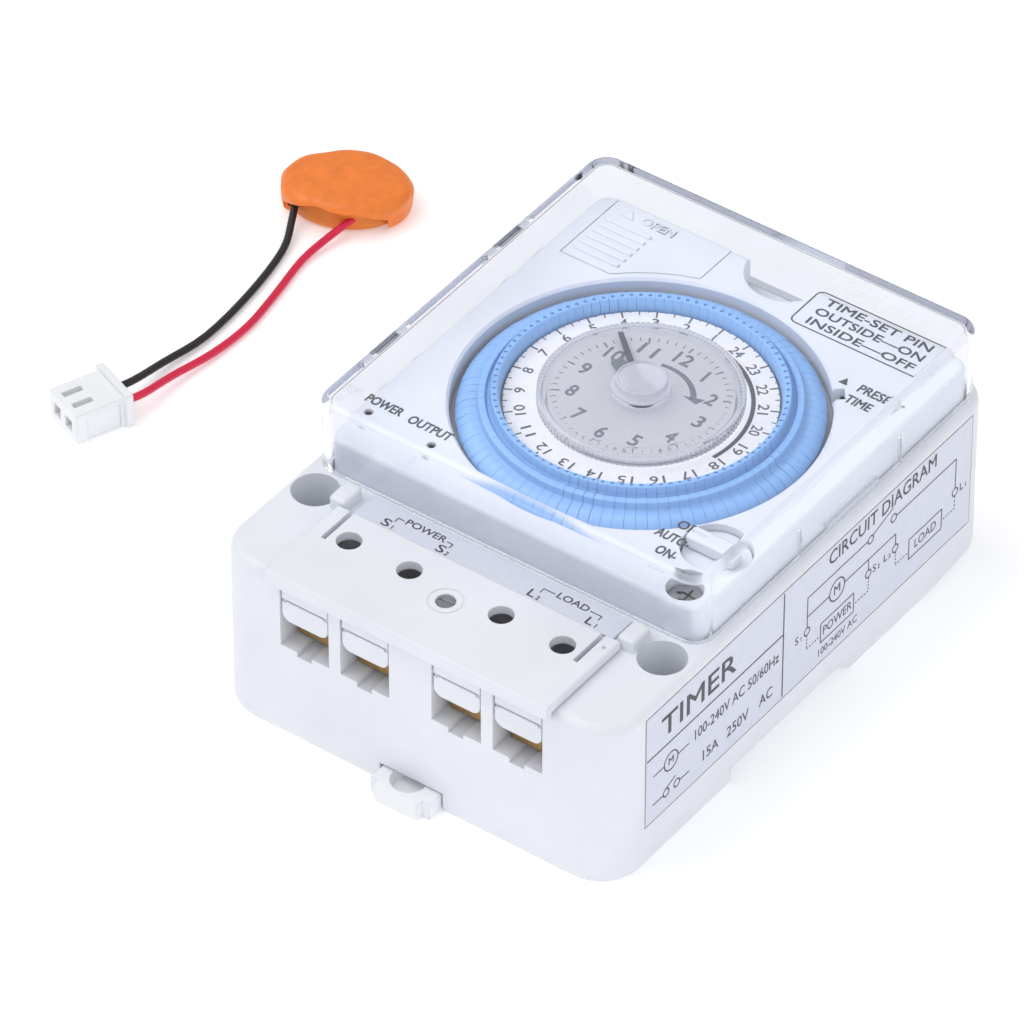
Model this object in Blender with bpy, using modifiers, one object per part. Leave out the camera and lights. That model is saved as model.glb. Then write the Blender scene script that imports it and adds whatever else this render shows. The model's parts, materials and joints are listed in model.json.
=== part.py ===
"""Programmable 24-hour timer switch with its backup battery lead.

The case lies on its back. Z points out of the dial, X to the reader's right,
Y towards the dial's 12. Sizes below are in millimetres and scaled by MM.
Local Y is measured from the middle of the case and shifted by CENTRE_SHIFT,
so the clip that stands out of the front edge counts in the footprint.
"""

import math

import bmesh
import bpy
from mathutils import Matrix, Vector

MM = 0.001
GAP = 0.3
SEGMENTS = 32
CENTRE_SHIFT = 2.3

# Case
HALF_X = 41.0
HALF_Y = 55.5
CASE_TOP = 34.0
PLAN_RADIUS = 8.0
RIM_RADIUS = 1.8
FLOOR_TOP = 5.2
CAVITY_X = 37.9
CAVITY_FRONT = -27.7
CAVITY_BACK = 51.4
RAIL_FRONT = -21.9
RAIL_BACK = 13.6
RAIL_DEPTH = 3.4
WELL = (35.4, -34.2)
WELL_RADIUS = 4.2
WELL_SEAT = 4.5
WALL_SCREW_RADIUS = 2.1

# Terminals
POLES = (-21.75, -9.35, 9.35, 21.75)
POLE_HALF = 5.0
POLE_BACK = -38.5
POLE_FLOOR = 19.5
SCREW_Y = -42.4

# Terminal cover
LID_HALF_X = 28.8
LID_BACK = -35.9
LID_LOW = CASE_TOP + GAP
LID_TOP = 36.0

# Front plate under the clear cover
PLATE_HALF_X = 37.6
PLATE_FRONT = -27.4
PLATE_BACK = 51.1
PLATE_TOP = 40.6
PLATE_WALL = 1.8
DIAL = (0.0, 9.3)
WELL_DIAL_RADIUS = 32.2
MODE = (31.2, -13.6)
MODE_WELL = 5.8
FIXING = (32.6, -23.4)
DOOR = (-34.1, -10.7, 33.5, 50.7)
LEDS = {"power": (-35.1, -19.8), "output": (-21.6, -20.4)}
LED_RADIUS = 0.5

# Clear cover
COVER_HALF_X = 39.6
COVER_FRONT = -29.6
COVER_BACK = 52.9
COVER_TOP = 48.6
COVER_WALL = 1.4
HINGE = (-39.5, 35.6)

# Circuit board
BOARD_LOW = 9.0
BOARD_FIXINGS = ((-30, -15), (30, -15), (-30, 44), (30, 44))

# Gears
MODULE = 0.5
DIAL_TEETH = 96
PINION_TEETH = 12

# Battery lead, lying beside the case
PACK = (-102.0, 62.0)
PACK_TURN = 25.0
PLUG = (-102.2, -11.6)
PLUG_TURN = -21.7
PITCH = 3.96
WIRE_RADIUS = 0.7
BLACK_ROUTE = (
    (-107.6, 54.2, 3.3),
    (-105.7, 50.6, 2.2),
    (-102.9, 44.2, 0.9),
    (-100.4, 31.1, 0.8),
    (-99.4, 17.4, 0.9),
    (-100.6, 6.8, 1.5),
)
RED_ROUTE = (
    (-96.6, 57.2, 3.0),
    (-97.9, 51.6, 1.8),
    (-98.5, 44.2, 0.9),
    (-96.6, 33.7, 0.8),
    (-95.2, 23.9, 0.8),
    (-95.5, 14.4, 1.0),
    (-96.8, 4.4, 1.9),
)


for stale in list(bpy.context.scene.objects):
    bpy.data.objects.remove(stale, do_unlink=True)


def new_collection(name):
    found = bpy.data.collections.new(name)
    bpy.context.scene.collection.children.link(found)
    return found


PARTS = new_collection("programmable_timer")
CUTTERS = new_collection("cutters")


def material(name, colour, roughness, metallic=0.0, alpha=1.0):
    made = bpy.data.materials.new(name)
    made.use_nodes = True
    shader = made.node_tree.nodes["Principled BSDF"]
    shader.inputs["Base Color"].default_value = (*colour, 1.0)
    shader.inputs["Roughness"].default_value = roughness
    shader.inputs["Metallic"].default_value = metallic
    shader.inputs["Alpha"].default_value = alpha
    return made


ABS = ((0.80, 0.82, 0.85), 0.45)
NYLON = ((0.86, 0.87, 0.89), 0.5)
PRINTED = ((0.74, 0.74, 0.82), 0.4)
BLUE = ((0.26, 0.48, 0.88), 0.4)
DARK = ((0.10, 0.10, 0.11), 0.5)
BRASS = ((0.72, 0.56, 0.32), 0.35, 1.0)
STEEL = ((0.55, 0.56, 0.58), 0.35, 1.0)
CLEAR = ((0.88, 0.90, 0.95), 0.05, 0.0, 0.25)
ORANGE = ((0.95, 0.35, 0.10), 0.45)


# ---------------------------------------------------------------- tools


def place(name, bm, spot, look=None):
    """A named object from a bmesh in millimetres, with its origin at spot."""
    for vert in bm.verts:
        vert.co = (vert.co - Vector(spot)) * MM
    bmesh.ops.recalc_face_normals(bm, faces=bm.faces)
    mesh = bpy.data.meshes.new(name)
    bm.to_mesh(mesh)
    bm.free()
    made = bpy.data.objects.new(name, mesh)
    made.location = Vector(spot) * MM
    finish_object(made, name, look)
    return made


def finish_object(made, name, look):
    if look is None:
        CUTTERS.objects.link(made)
        made.hide_render = True
        made.display_type = "WIRE"
    else:
        PARTS.objects.link(made)
        made.data.materials.append(material(name, *look))


def add_box(bm, low, high):
    fresh = bmesh.ops.create_cube(bm, size=1.0)["verts"]
    size = [b - a for a, b in zip(low, high)]
    middle = [(a + b) / 2 for a, b in zip(low, high)]
    bmesh.ops.scale(bm, vec=size, verts=fresh)
    bmesh.ops.translate(bm, vec=middle, verts=fresh)
    return fresh


def add_rod(bm, centre, low, high, radius, segments=SEGMENTS, radius_top=None):
    """An upright cylinder, or a cone when radius_top differs."""
    at = Matrix.Translation((centre[0], centre[1], (low + high) / 2))
    return bmesh.ops.create_cone(
        bm,
        cap_ends=True,
        segments=segments,
        radius1=radius,
        radius2=radius if radius_top is None else radius_top,
        depth=high - low,
        matrix=at,
    )["verts"]


def boxes(name, spans, look=None, spot=None):
    bm = bmesh.new()
    for low, high in spans:
        add_box(bm, low, high)
    low, high = spans[0]
    if spot is None:
        spot = [(a + b) / 2 for a, b in zip(low, high)]
    return place(name, bm, spot, look)


def rods(name, spans, look=None, spot=None, segments=SEGMENTS):
    """Upright cylinders from (centre, low, high, radius)."""
    bm = bmesh.new()
    for centre, low, high, radius in spans:
        add_rod(bm, centre, low, high, radius, segments)
    centre, low, high, _ = spans[0]
    if spot is None:
        spot = (centre[0], centre[1], (low + high) / 2)
    made = place(name, bm, spot, look)
    shade_round(made)
    return made


def shade_round(made):
    for face in made.data.polygons:
        face.use_smooth = True


def lathe(name, centre, profile, look=None, steps=48):
    """A turned piece. The profile runs down its outer side, as (radius, z)."""
    bm = bmesh.new()
    low = profile[0][1]
    points = [bm.verts.new((r * MM, 0, (z - low) * MM)) for r, z in profile]
    closed = profile[0][0] > 0 and profile[-1][0] > 0
    for a, b in zip(points, points[1:] + (points[:1] if closed else [])):
        bm.edges.new((a, b))
    mesh = bpy.data.meshes.new(name)
    bm.to_mesh(mesh)
    bm.free()
    made = bpy.data.objects.new(name, mesh)
    made.location = Vector((centre[0], centre[1], low)) * MM
    finish_object(made, name, look)
    screw = made.modifiers.new("turn", "SCREW")
    screw.axis = "Z"
    screw.steps = steps
    screw.render_steps = steps
    screw.use_merge_vertices = True
    screw.merge_threshold = 0.00001
    screw.use_smooth_shade = True
    return made


def toothed(name, centre, low, high, teeth, bore, look, phase=0.0):
    """A spur gear plate: straight-flanked teeth on the pitch circle."""
    pitch = MODULE * teeth / 2
    outer, root = pitch + 0.9 * MODULE, pitch - 1.2 * MODULE
    curve = bpy.data.curves.new(name, "CURVE")
    curve.dimensions = "2D"
    curve.fill_mode = "BOTH"
    curve.extrude = (high - low) / 2 * MM
    step = 2 * math.pi / teeth
    rim = []
    for tooth in range(teeth):
        middle = phase + tooth * step
        for share, radius in ((-0.33, root), (-0.12, outer), (0.12, outer), (0.33, root)):
            rim.append((radius, middle + share * step))
    hole = [(bore, k * math.pi / 12) for k in range(24)]
    for ring in (rim, hole):
        spline = curve.splines.new("POLY")
        spline.points.add(len(ring) - 1)
        for point, (radius, angle) in zip(spline.points, ring):
            point.co = (radius * MM * math.cos(angle), radius * MM * math.sin(angle), 0, 1)
        spline.use_cyclic_u = True
    made = bpy.data.objects.new(name, curve)
    made.location = Vector((centre[0], centre[1], (low + high) / 2)) * MM
    finish_object(made, name, look)
    return made


def weigh(made, wanted):
    """Marks the edges that wanted(start, end) picks, for a weighted bevel."""
    mesh = made.data
    weights = mesh.attributes.new("bevel_weight_edge", "FLOAT", "EDGE")
    for edge in mesh.edges:
        a, b = (mesh.vertices[i].co / MM for i in edge.vertices)
        weights.data[edge.index].value = float(wanted(a, b))


def upright(a, b):
    return abs(a.z - b.z) > 0.5 * (a - b).length


def bevel(made, width, segments=3, wanted=None, angle=50.0):
    step = made.modifiers.new("bevel", "BEVEL")
    step.width = width * MM
    step.segments = segments
    if wanted is None:
        step.limit_method = "ANGLE"
        step.angle_limit = math.radians(angle)
    else:
        weigh(made, wanted)
        step.limit_method = "WEIGHT"
    return made


def combine(made, tool, operation):
    step = made.modifiers.new(operation.lower(), "BOOLEAN")
    step.operation = operation
    step.solver = "EXACT"
    step.object = tool
    return made


def cut(made, *tools):
    for tool in tools:
        combine(made, tool, "DIFFERENCE")
    return made


def fuse(made, *tools):
    for tool in tools:
        combine(made, tool, "UNION")
    return made


def around(centre, radius, degrees):
    angle = math.radians(degrees)
    return centre[0] + radius * math.cos(angle), centre[1] + radius * math.sin(angle)


def sides(spans):
    """The spans and their mirror images in X."""
    flipped = [((-b[0], a[1], a[2]), (-a[0], b[1], b[2])) for a, b in spans]
    return list(spans) + flipped


# ---------------------------------------------------------------- case


def rail_slot():
    """The rail's slot across the back, with a sloped far end, and the clip's channel."""
    bm = bmesh.new()
    slot = add_box(bm, (-60, RAIL_FRONT, -4), (60, RAIL_BACK, RAIL_DEPTH))
    for vert in slot:
        if vert.co.z > 0 and vert.co.y > 0:
            vert.co.y -= 4.0
        elif vert.co.y > 0:
            vert.co.y += 4.5
    return place("cut_rail", bm, (0, 0, 0))


def back_taper():
    bm = bmesh.new()
    wedge = add_box(bm, (-60, 30.1, -6), (60, 66.0, 0))
    for vert in wedge:
        if vert.co.z > -1 and vert.co.y > 60:
            vert.co.z = 3.6
    return place("cut_taper", bm, (0, 0, 0))


def base_housing():
    case = boxes("base_housing", [((-HALF_X, -HALF_Y, 0), (HALF_X, HALF_Y, CASE_TOP))], ABS)
    bevel(case, PLAN_RADIUS, 5, upright)
    bevel(case, RIM_RADIUS, 3)
    posts = boxes("add_posts", sides([((29.2, -38.4, 30), (31.0, -31.8, 37.8))]))
    ears = boxes(
        "add_ears",
        [
            ((-40.8, y + s * 4.7 - 1.2, 30), (-38.2, y + s * 4.7 + 1.2, HINGE[1] + 1.2))
            for y in (-5.0, 30.0)
            for s in (-1, 1)
        ],
    )
    fuse(case, posts, ears)
    cavity = boxes(
        "cut_cavity",
        [((-CAVITY_X, CAVITY_FRONT, FLOOR_TOP), (CAVITY_X, CAVITY_BACK, 60))],
    )
    clip = boxes("cut_clip_channel", [((-6.5, -60, -2), (6.5, RAIL_FRONT + 2, 3.9))])
    channels = [
        ((x - POLE_HALF, -60, POLE_FLOOR), (x + POLE_HALF, POLE_BACK, 50)) for x in POLES
    ]
    grooves = [((x - 1.7, -62, 18.2), (x + 1.7, -47, 25)) for x in POLES]
    label = [((40.55, -46.6, 8.2), (50, 48.4, 32.2))]
    wells = []
    for x in (-WELL[0], WELL[0]):
        wells.append(((x, WELL[1]), WELL_SEAT, 50, WELL_RADIUS))
    holes = [((x, WELL[1]), -5, 8, WALL_SCREW_RADIUS) for x in (-WELL[0], WELL[0])]
    holes.append(((0, -45.6), 24, 50, 1.3))
    cut(
        case,
        cavity,
        rail_slot(),
        clip,
        back_taper(),
        boxes("cut_channels", channels),
        boxes("cut_grooves", grooves),
        boxes("cut_label", label),
        rods("cut_wells", wells),
        rods("cut_holes", holes, segments=20),
        hinge_bore("cut_ear_bore", 0.9),
    )
    pillars = [(spot, 3, BOARD_LOW - GAP, 2.0) for spot in BOARD_FIXINGS]
    fuse(case, rods("add_pillars", pillars, segments=16))
    fuse(case, rods("add_column", [(FIXING, 3, 29.7, 3.6)], segments=20))
    cut(case, rods("cut_thread", [(FIXING, 15, 40, 1.6)], segments=16))
    return case


def hinge_bore(name, radius, look=None, length=120.0, middle=12.0):
    """A rod on the clear cover's hinge line."""
    bm = bmesh.new()
    turn = Matrix.Translation((HINGE[0], middle, HINGE[1])) @ Matrix.Rotation(
        math.pi / 2, 4, "X"
    )
    bmesh.ops.create_cone(
        bm,
        cap_ends=True,
        segments=16,
        radius1=radius,
        radius2=radius,
        depth=length,
        matrix=turn,
    )
    made = place(name, bm, (HINGE[0], middle, HINGE[1]), look)
    shade_round(made)
    return made


def label_plates():
    boxes("rating_label", [((40.85, -46.3, 8.5), (41.0, 48.1, 31.9))], PRINTED)
    boxes("terminal_label", [((-26.5, -35.6, CASE_TOP + GAP), (26.5, -30.0, 34.5))], PRINTED)


def rail_clip():
    clip = boxes("rail_clip", [((-6.1, -60.1, 0.2), (6.1, -23.0, 3.5))], NYLON)
    bevel(clip, 1.0, 3, lambda a, b: upright(a, b) and a.y < 0)
    tongue = boxes("add_tongue", [((-6.1, -24.0, 0.2), (6.1, -20.6, 1.8))])
    fuse(clip, tongue)
    bm = bmesh.new()
    add_rod(bm, (-0.4, -55.0), 1.9, 6.0, 2.9, 24, 3.6)
    scoop = place("cut_scoop", bm, (0, -55, 2))
    slots = [((-4.4, -48, -2), (-3.2, -29, 8)), ((3.2, -48, -2), (4.4, -29, 8))]
    cut(clip, scoop, boxes("cut_clip_slots", slots))
    return clip


# ---------------------------------------------------------------- terminals


def terminal_pole(number, x):
    clamp = boxes(f"clamp_{number}", [((x - 4.2, -51.6, 19.9), (x + 4.2, -41.0, 28.0))], BRASS)
    window = boxes(f"cut_clamp_{number}", [((x - 2.9, -60, 22.1), (x + 2.9, -30, 26.2))])
    hole = rods(f"cut_thread_{number}", [((x, SCREW_Y - 2.7), 25, 40, 1.8)], segments=20)
    cut(clamp, window, hole)
    boxes(f"contact_bar_{number}", [((x - 2.4, -48.0, 24.7), (x + 2.4, -38.8, 25.7))], BRASS)
    screw_y = SCREW_Y - 2.7
    screw = rods(
        f"terminal_screw_{number}",
        [((x, screw_y), 30.7, 32.8, 3.0)],
        STEEL,
        segments=24,
    )
    fuse(screw, rods(f"add_shank_{number}", [((x, screw_y), 26.2, 31.0, 1.5)], segments=20))
    slot = boxes(
        f"cut_drive_{number}",
        [((x - 5, screw_y - 0.35, 32.0), (x + 5, screw_y + 0.35, 36))],
    )
    cross = boxes(
        f"cut_cross_{number}",
        [((x - 0.35, screw_y - 2, 32.0), (x + 0.35, screw_y + 2, 36))],
    )
    cut(screw, slot, cross)
    flap = boxes(
        f"entry_flap_{number}",
        [((x - 4.7, -55.3, 25.2), (x + 4.7, -54.3, 29.4))],
        ABS,
        (x, -54.8, 29.0),
    )
    bevel(flap, 1.4, 4, lambda a, b: max(a.z, b.z) < -3 and abs(a.y - b.y) > 0.5)


def terminal_cover():
    lid = boxes("terminal_cover", [((-LID_HALF_X, -57.1, LID_LOW), (LID_HALF_X, LID_BACK, LID_TOP))], ABS)
    bevel(lid, 0.5, 2)
    lip = boxes("add_lip", [((-LID_HALF_X, -57.1, 33.0), (LID_HALF_X, -55.8, 35.4))])
    bevel(lip, 0.45, 2)
    panels = [((x - 4.7, -55.3, 29.8), (x + 4.7, -54.3, 35.0)) for x in POLES]
    fuse(lid, lip, boxes("add_panels", panels))
    holes = [((x, SCREW_Y - 0.6), 30, 40, 2.2) for x in POLES]
    holes.append(((0, -45.6), 30, 40, 1.2))
    recess = [((0, -45.6), 34.9, 40, 1.8), ((27.6, -39.4), 35.2, 40, 0.5)]
    arms = boxes("cut_arms", sides([((25.3, -45.0, 30), (26.2, -30, 40))]))
    cut(lid, rods("cut_lid_holes", holes, segments=28), rods("cut_recess", recess, segments=24), arms)
    screw = rods("cover_screw", [((0, -45.6), 35.2, 35.8, 1.5)], STEEL, segments=20)
    fuse(screw, rods("add_cover_shank", [((0, -45.6), 27.0, 35.4, 0.9)], segments=16))
    cut(screw, boxes("cut_cover_slot", [((-2, -45.85, 35.5), (2, -45.35, 37))]))


# ---------------------------------------------------------------- front plate


def front_housing():
    inside = PLATE_WALL
    plate = boxes(
        "front_housing",
        [((-PLATE_HALF_X, PLATE_FRONT, 30), (PLATE_HALF_X, PLATE_BACK, PLATE_TOP))],
        ABS,
    )
    bevel(plate, 3.0, 4, upright)
    bevel(plate, 1.0, 2)
    hollow = boxes(
        "cut_hollow",
        [
            (
                (-PLATE_HALF_X + inside, PLATE_FRONT + inside, 20),
                (PLATE_HALF_X - inside, PLATE_BACK - inside, PLATE_TOP - inside),
            )
        ],
    )
    cut(plate, hollow)
    cup = rods("add_dial_cup", [(DIAL, 34.6, 39.6, 33.6)], segments=64)
    corner = rods("add_boss", [(FIXING, 30.0, 39.6, 4.2)], segments=24)
    mode = rods("add_mode_cup", [(MODE, 35.4, 39.6, 6.3)], segments=32)
    left, right, front, back = DOOR
    bay = boxes(
        "add_bay", [((left - 0.6, front - 0.2, 18.0), (right + 0.8, back - 0.6, 39.6))]
    )
    grip = boxes("add_grip_wall", [((-8.4, 42.0, 33.0), (9.6, 50.4, 39.6))])
    fuse(plate, cup, corner, mode, bay, grip)
    hub = rods("add_hub", [(DIAL, 34.9, 40.7, 3.2)], segments=24)
    dial = rods("cut_dial", [(DIAL, 35.8, 60, WELL_DIAL_RADIUS)], segments=64)
    knob = rods("cut_mode", [(MODE, 38.0, 60, MODE_WELL)], segments=32)
    recess = rods("cut_fixing", [(FIXING, 36.6, 60, 3.2)], segments=28)
    small = [(FIXING, 20, 60, 1.6)]
    small += [(MODE, 20, 60, 2.3), (pinion_spot(), 20, 37, 1.7)]
    small += [(spot, 34, 60, LED_RADIUS + GAP) for spot in LEDS.values()]
    bm = bmesh.new()
    add_rod(bm, (0.6, 51.5), 35, 60, 7.6, 28)
    scoop = place("cut_scoop_back", bm, (0, 51, 40))
    notch_x, notch_y = around(DIAL, 32.6, 39.5)
    notch = boxes("cut_notch", [((-1.6, -1.6, 37.6), (1.6, 1.6, 60))], None, (0, 0, 40))
    notch.location = Vector((notch_x, notch_y, 40)) * MM
    notch.rotation_euler.z = math.radians(39.5)
    cut(plate, dial, knob, recess, rods("cut_small", small, segments=20), scoop, notch)
    cut(plate, door_shape("cut_door", GAP, 39.0, 60), bay_shape())
    fuse(plate, hub)
    cut(plate, rods("cut_hub", [(DIAL, 20, 60, 2.2)], segments=20))
    return plate


def door_shape(name, grow, low, high, look=None):
    left, right, front, back = DOOR
    door = boxes(
        name, [((left - grow, front - grow, low), (right + grow, back + 3 * grow, high))], look
    )
    cut(door, rods(f"{name}_round", [(DIAL, 10, 70, 33.9 - grow)], segments=64))
    return door


def bay_shape():
    left, right, front, _ = DOOR
    bay = boxes("cut_bay", [((left + 0.6, front + 1.0, 19.2), (right - 0.4, 49.0, 60))])
    cut(bay, rods("cut_bay_round", [(DIAL, 10, 70, 35.0)], segments=64))
    return bay


def battery_door():
    door = door_shape("battery_door", 0.0, 39.3, PLATE_TOP, ABS)
    ribs = boxes(
        "add_door_ribs",
        [((-33.0, 35.6 + k * 1.85, 40.2), (-23.6, 36.3 + k * 1.85, 41.0)) for k in range(6)],
    )
    fuse(door, ribs)
    return door


def mode_knob():
    knob = rods("mode_knob", [(MODE, 38.4, 40.4, 5.4)], ABS, segments=32)
    x, y = MODE
    bar = boxes("add_mode_bar", [((x - 5.0, y - 1.7, 39.6), (x + 4.6, y + 1.7, 43.2))])
    bevel(bar, 0.5, 2)
    stem = rods("add_mode_stem", [(MODE, 31.0, 39.0, 1.9)], segments=20)
    cam = boxes("add_mode_cam", [((x - 4.4, y - 1.2, 31.0), (x + 1.5, y + 1.2, 33.4))])
    fuse(knob, bar, stem, cam)
    return knob


def plate_trims():
    for name, spot in LEDS.items():
        lamp = (0.75, 0.20, 0.16) if name == "power" else (0.25, 0.62, 0.28)
        rods(f"{name}_led", [(spot, 36.8, 40.3, LED_RADIUS)], (lamp, 0.25), segments=16)
    x, y = FIXING
    screw = rods("housing_screw", [(FIXING, 36.9, 38.9, 2.7)], STEEL, segments=20)
    fuse(screw, rods("add_screw_shank", [(FIXING, 24.0, 37.4, 1.3)], segments=16))
    cut(
        screw,
        boxes("cut_screw_cross", [((x - 1.6, y - 0.3, 38.0), (x + 1.6, y + 0.3, 42))]),
        boxes("cut_screw_slot", [((x - 0.3, y - 1.6, 38.0), (x + 0.3, y + 1.6, 42))]),
    )


# ---------------------------------------------------------------- clear cover


def clear_cover():
    cover = boxes(
        "clear_cover",
        [((-COVER_HALF_X, COVER_FRONT, 28), (COVER_HALF_X, COVER_BACK, COVER_TOP))],
        CLEAR,
    )
    bevel(cover, 4.2, 5, upright)
    bevel(cover, 1.1, 2)
    wall = COVER_WALL
    inner = boxes(
        "cut_cover_inner",
        [
            (
                (-COVER_HALF_X + wall, COVER_FRONT + wall, 20),
                (COVER_HALF_X - wall, COVER_BACK - wall, COVER_TOP - wall),
            )
        ],
    )
    bevel(inner, 2.8, 5, upright)
    trim = boxes("cut_cover_low", [((-60, -60, 10), (60, 80, CASE_TOP + GAP))])
    barrels = boxes(
        "add_barrels",
        [
            (
                (HINGE[0] - 1.1, y - 3.0, CASE_TOP + GAP + 0.1),
                (HINGE[0] + 0.9, y + 3.0, HINGE[1] + 1.1),
            )
            for y in (-5.0, 30.0)
        ],
    )
    gaps = [
        ((-45, y + s * 4.7 - 1.6, 20), (-37, y + s * 4.7 + 1.6, HINGE[1] + 1.9))
        for y in (-5.0, 30.0)
        for s in (-1, 1)
    ]
    slits = [((36, y - 0.3, 20), (42, y + 0.3, 40.2)) for y in (-0.8, 28.4)]
    cut(cover, inner, trim, boxes("cut_ear_gaps", gaps), boxes("cut_slits", slits))
    fuse(cover, barrels, boxes("add_grip", [((39.0, 6.0, 36.0), (40.3, 21.0, 36.9))]))
    cut(cover, hinge_bore("cut_barrel_bore", 0.9))
    for label, y in (("front", -5.0), ("back", 30.0)):
        hinge_bore(f"hinge_pin_{label}", 0.6, STEEL, 11.0, y)


# ---------------------------------------------------------------- dial and drive


def pinion_spot():
    reach = MODULE * (DIAL_TEETH + PINION_TEETH) / 2
    return around(DIAL, reach, -90)


def dial_parts():
    toothed("dial_gear", DIAL, 36.4, 38.6, DIAL_TEETH, 3.5, NYLON)
    ring(
        "dial_carrier",
        [(28.2, 39.5), (28.2, 38.9), (3.5, 38.9), (3.5, 39.5)],
        NYLON,
        40,
    )
    ring(
        "dial_plate_24h",
        [
            (16.4, 40.8),
            (23.2, 40.8),
            (23.2, 39.8),
            (3.5, 39.8),
            (3.5, 40.5),
            (16.4, 40.5),
        ],
        ABS,
        48,
    )
    ring(
        "pin_ring",
        [
            (24.1, 43.3),
            (25.0, 43.4),
            (25.9, 42.1),
            (27.3, 41.8),
            (28.0, 40.9),
            (29.4, 39.9),
            (31.2, 38.5),
            (31.2, 38.0),
            (30.5, 38.0),
            (28.7, 39.1),
            (28.7, 39.9),
            (23.5, 39.9),
            (23.5, 41.5),
        ],
        BLUE,
        64,
    )
    ring(
        "dial_plate_12h",
        [(16.1, 41.5), (16.1, 41.0), (2.8, 41.0), (2.8, 41.5)],
        ABS,
        40,
    )
    ring(
        "set_disc",
        [
            (17.3, 43.5),
            (17.6, 43.2),
            (17.6, 41.1),
            (16.7, 41.1),
            (16.6, 42.9),
            (5.0, 42.9),
            (5.0, 43.5),
        ],
        CLEAR,
        48,
    )


def ring(name, profile, look, steps):
    return lathe(name, DIAL, profile, look, steps)


def hand(name, low, high, hub, reach, width, degrees, look):
    """A clock hand: a round boss with a bar to one side."""
    x, y = DIAL
    piece = rods(name, [(DIAL, low, high, hub)], look, segments=24)
    span = ((0.5, -width / 2, low), (reach, width / 2, high))
    bar = boxes(f"add_{name}", [span], None, (0, 0, low))
    bar.location = Vector((x, y, low)) * MM
    bar.rotation_euler.z = math.radians(degrees)
    return fuse(piece, bar)


def drive():
    arbor = rods("minute_arbor", [(DIAL, 33.0, 43.7, 0.8)], STEEL, segments=16)
    hour = hand("hour_hand", 41.8, 42.1, 2.6, 9.6, 1.5, 151.0, DARK)
    fuse(hour, rods("add_hour_tube", [(DIAL, 33.2, 41.9, 1.9)], segments=20))
    minute = hand("minute_hand", 42.4, 42.65, 2.0, 15.4, 0.9, 138.5, DARK)
    for piece in (hour, minute):
        cut(piece, rods(f"cut_{piece.name}", [(DIAL, 10, 60, 1.1)], segments=20))
    lathe(
        "centre_knob",
        DIAL,
        [
            (0, 45.9),
            (4.0, 45.9),
            (4.4, 45.6),
            (4.4, 44.6),
            (5.2, 44.4),
            (5.2, 43.9),
            (0, 43.9),
        ],
        CLEAR,
        32,
    )
    x, y = pinion_spot()
    phase = math.radians(90) + math.pi / PINION_TEETH
    toothed("drive_pinion", (x, y), 36.4, 37.6, PINION_TEETH, 1.1, BRASS, phase)
    rods("pinion_shaft", [((x, y), 29.9, 37.3, 0.8)], STEEL, segments=16)
    motor = rods("drive_motor", [((x, y), 11.5, 29.6, 8.6)], STEEL, segments=32)
    bevel(motor, 0.8, 1)
    return arbor


def inner_parts():
    board = boxes(
        "circuit_board",
        [((-34.5, -18.5, BOARD_LOW), (34.5, 47.5, BOARD_LOW + 1.6))],
        ((0.10, 0.32, 0.16), 0.5),
    )
    holes = [(spot, 0, 20, 1.1) for spot in BOARD_FIXINGS]
    cut(board, rods("cut_board", holes, segments=12))
    boxes("output_switch", [((20.0, -17.5, 10.9), (33.0, 4.0, 26.0))], DARK)
    header = boxes("battery_header", [((-26.5, 36.5, 10.9), (-16.5, 44.5, 17.0))], NYLON)
    cut(header, boxes("cut_header", [((-25.4, 37.6, 12.0), (-17.6, 43.4, 30))]))
    x = -21.5
    for side, s in (("a", -1), ("b", 1)):
        boxes(
            f"header_pin_{side}",
            [((x + s * PITCH / 2 - 0.4, 40.1, 12.3), (x + s * PITCH / 2 + 0.4, 40.9, 16.4))],
            BRASS,
        )


# ---------------------------------------------------------------- battery lead


def turned(made, spot, degrees):
    """Puts a piece that was made about the origin at its place beside the case."""
    made.location = Vector((spot[0] * MM, spot[1] * MM, made.location.z))
    made.rotation_euler.z = math.radians(degrees)
    return made


def oval(name, half_x, half_y, low, high, look=None):
    bm = bmesh.new()
    fresh = add_rod(bm, (0, 0), low, high, 1.0, 40)
    bmesh.ops.scale(bm, vec=(half_x, half_y, 1.0), verts=fresh)
    made = place(name, bm, (0, 0, 0), look)
    shade_round(made)
    return turned(made, PACK, PACK_TURN)


def battery_pack():
    sleeve = oval("battery_sleeve", 12.2, 9.2, 0.3, 6.9, ORANGE)
    bevel(sleeve, 0.9, 2)
    hollow = oval("cut_sleeve", 11.6, 8.6, 0.9, 6.3)
    mouth = boxes("cut_mouth", [((-9.8, -14, -2), (8.4, -4.4, 5.3))], None, (0, 0, 0))
    turned(mouth, PACK, PACK_TURN)
    cut(sleeve, hollow, mouth)
    turn = math.radians(PACK_TURN)
    for side, s in (("a", -1), ("b", 1)):
        spot = (PACK[0] + s * 5.4 * math.cos(turn), PACK[1] + s * 5.4 * math.sin(turn))
        cell = rods(f"battery_cell_{side}", [(spot, 1.2, 6.0, 4.7)], ORANGE, segments=24)
        bevel(cell, 0.4, 1)


def plug_end(s):
    """Where a wire meets the plug's rear face."""
    turn = math.radians(PLUG_TURN)
    across, along = s * PITCH / 2, 5.0
    return (
        PLUG[0] + across * math.cos(turn) - along * math.sin(turn),
        PLUG[1] + across * math.sin(turn) + along * math.cos(turn),
        3.3,
    )


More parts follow.
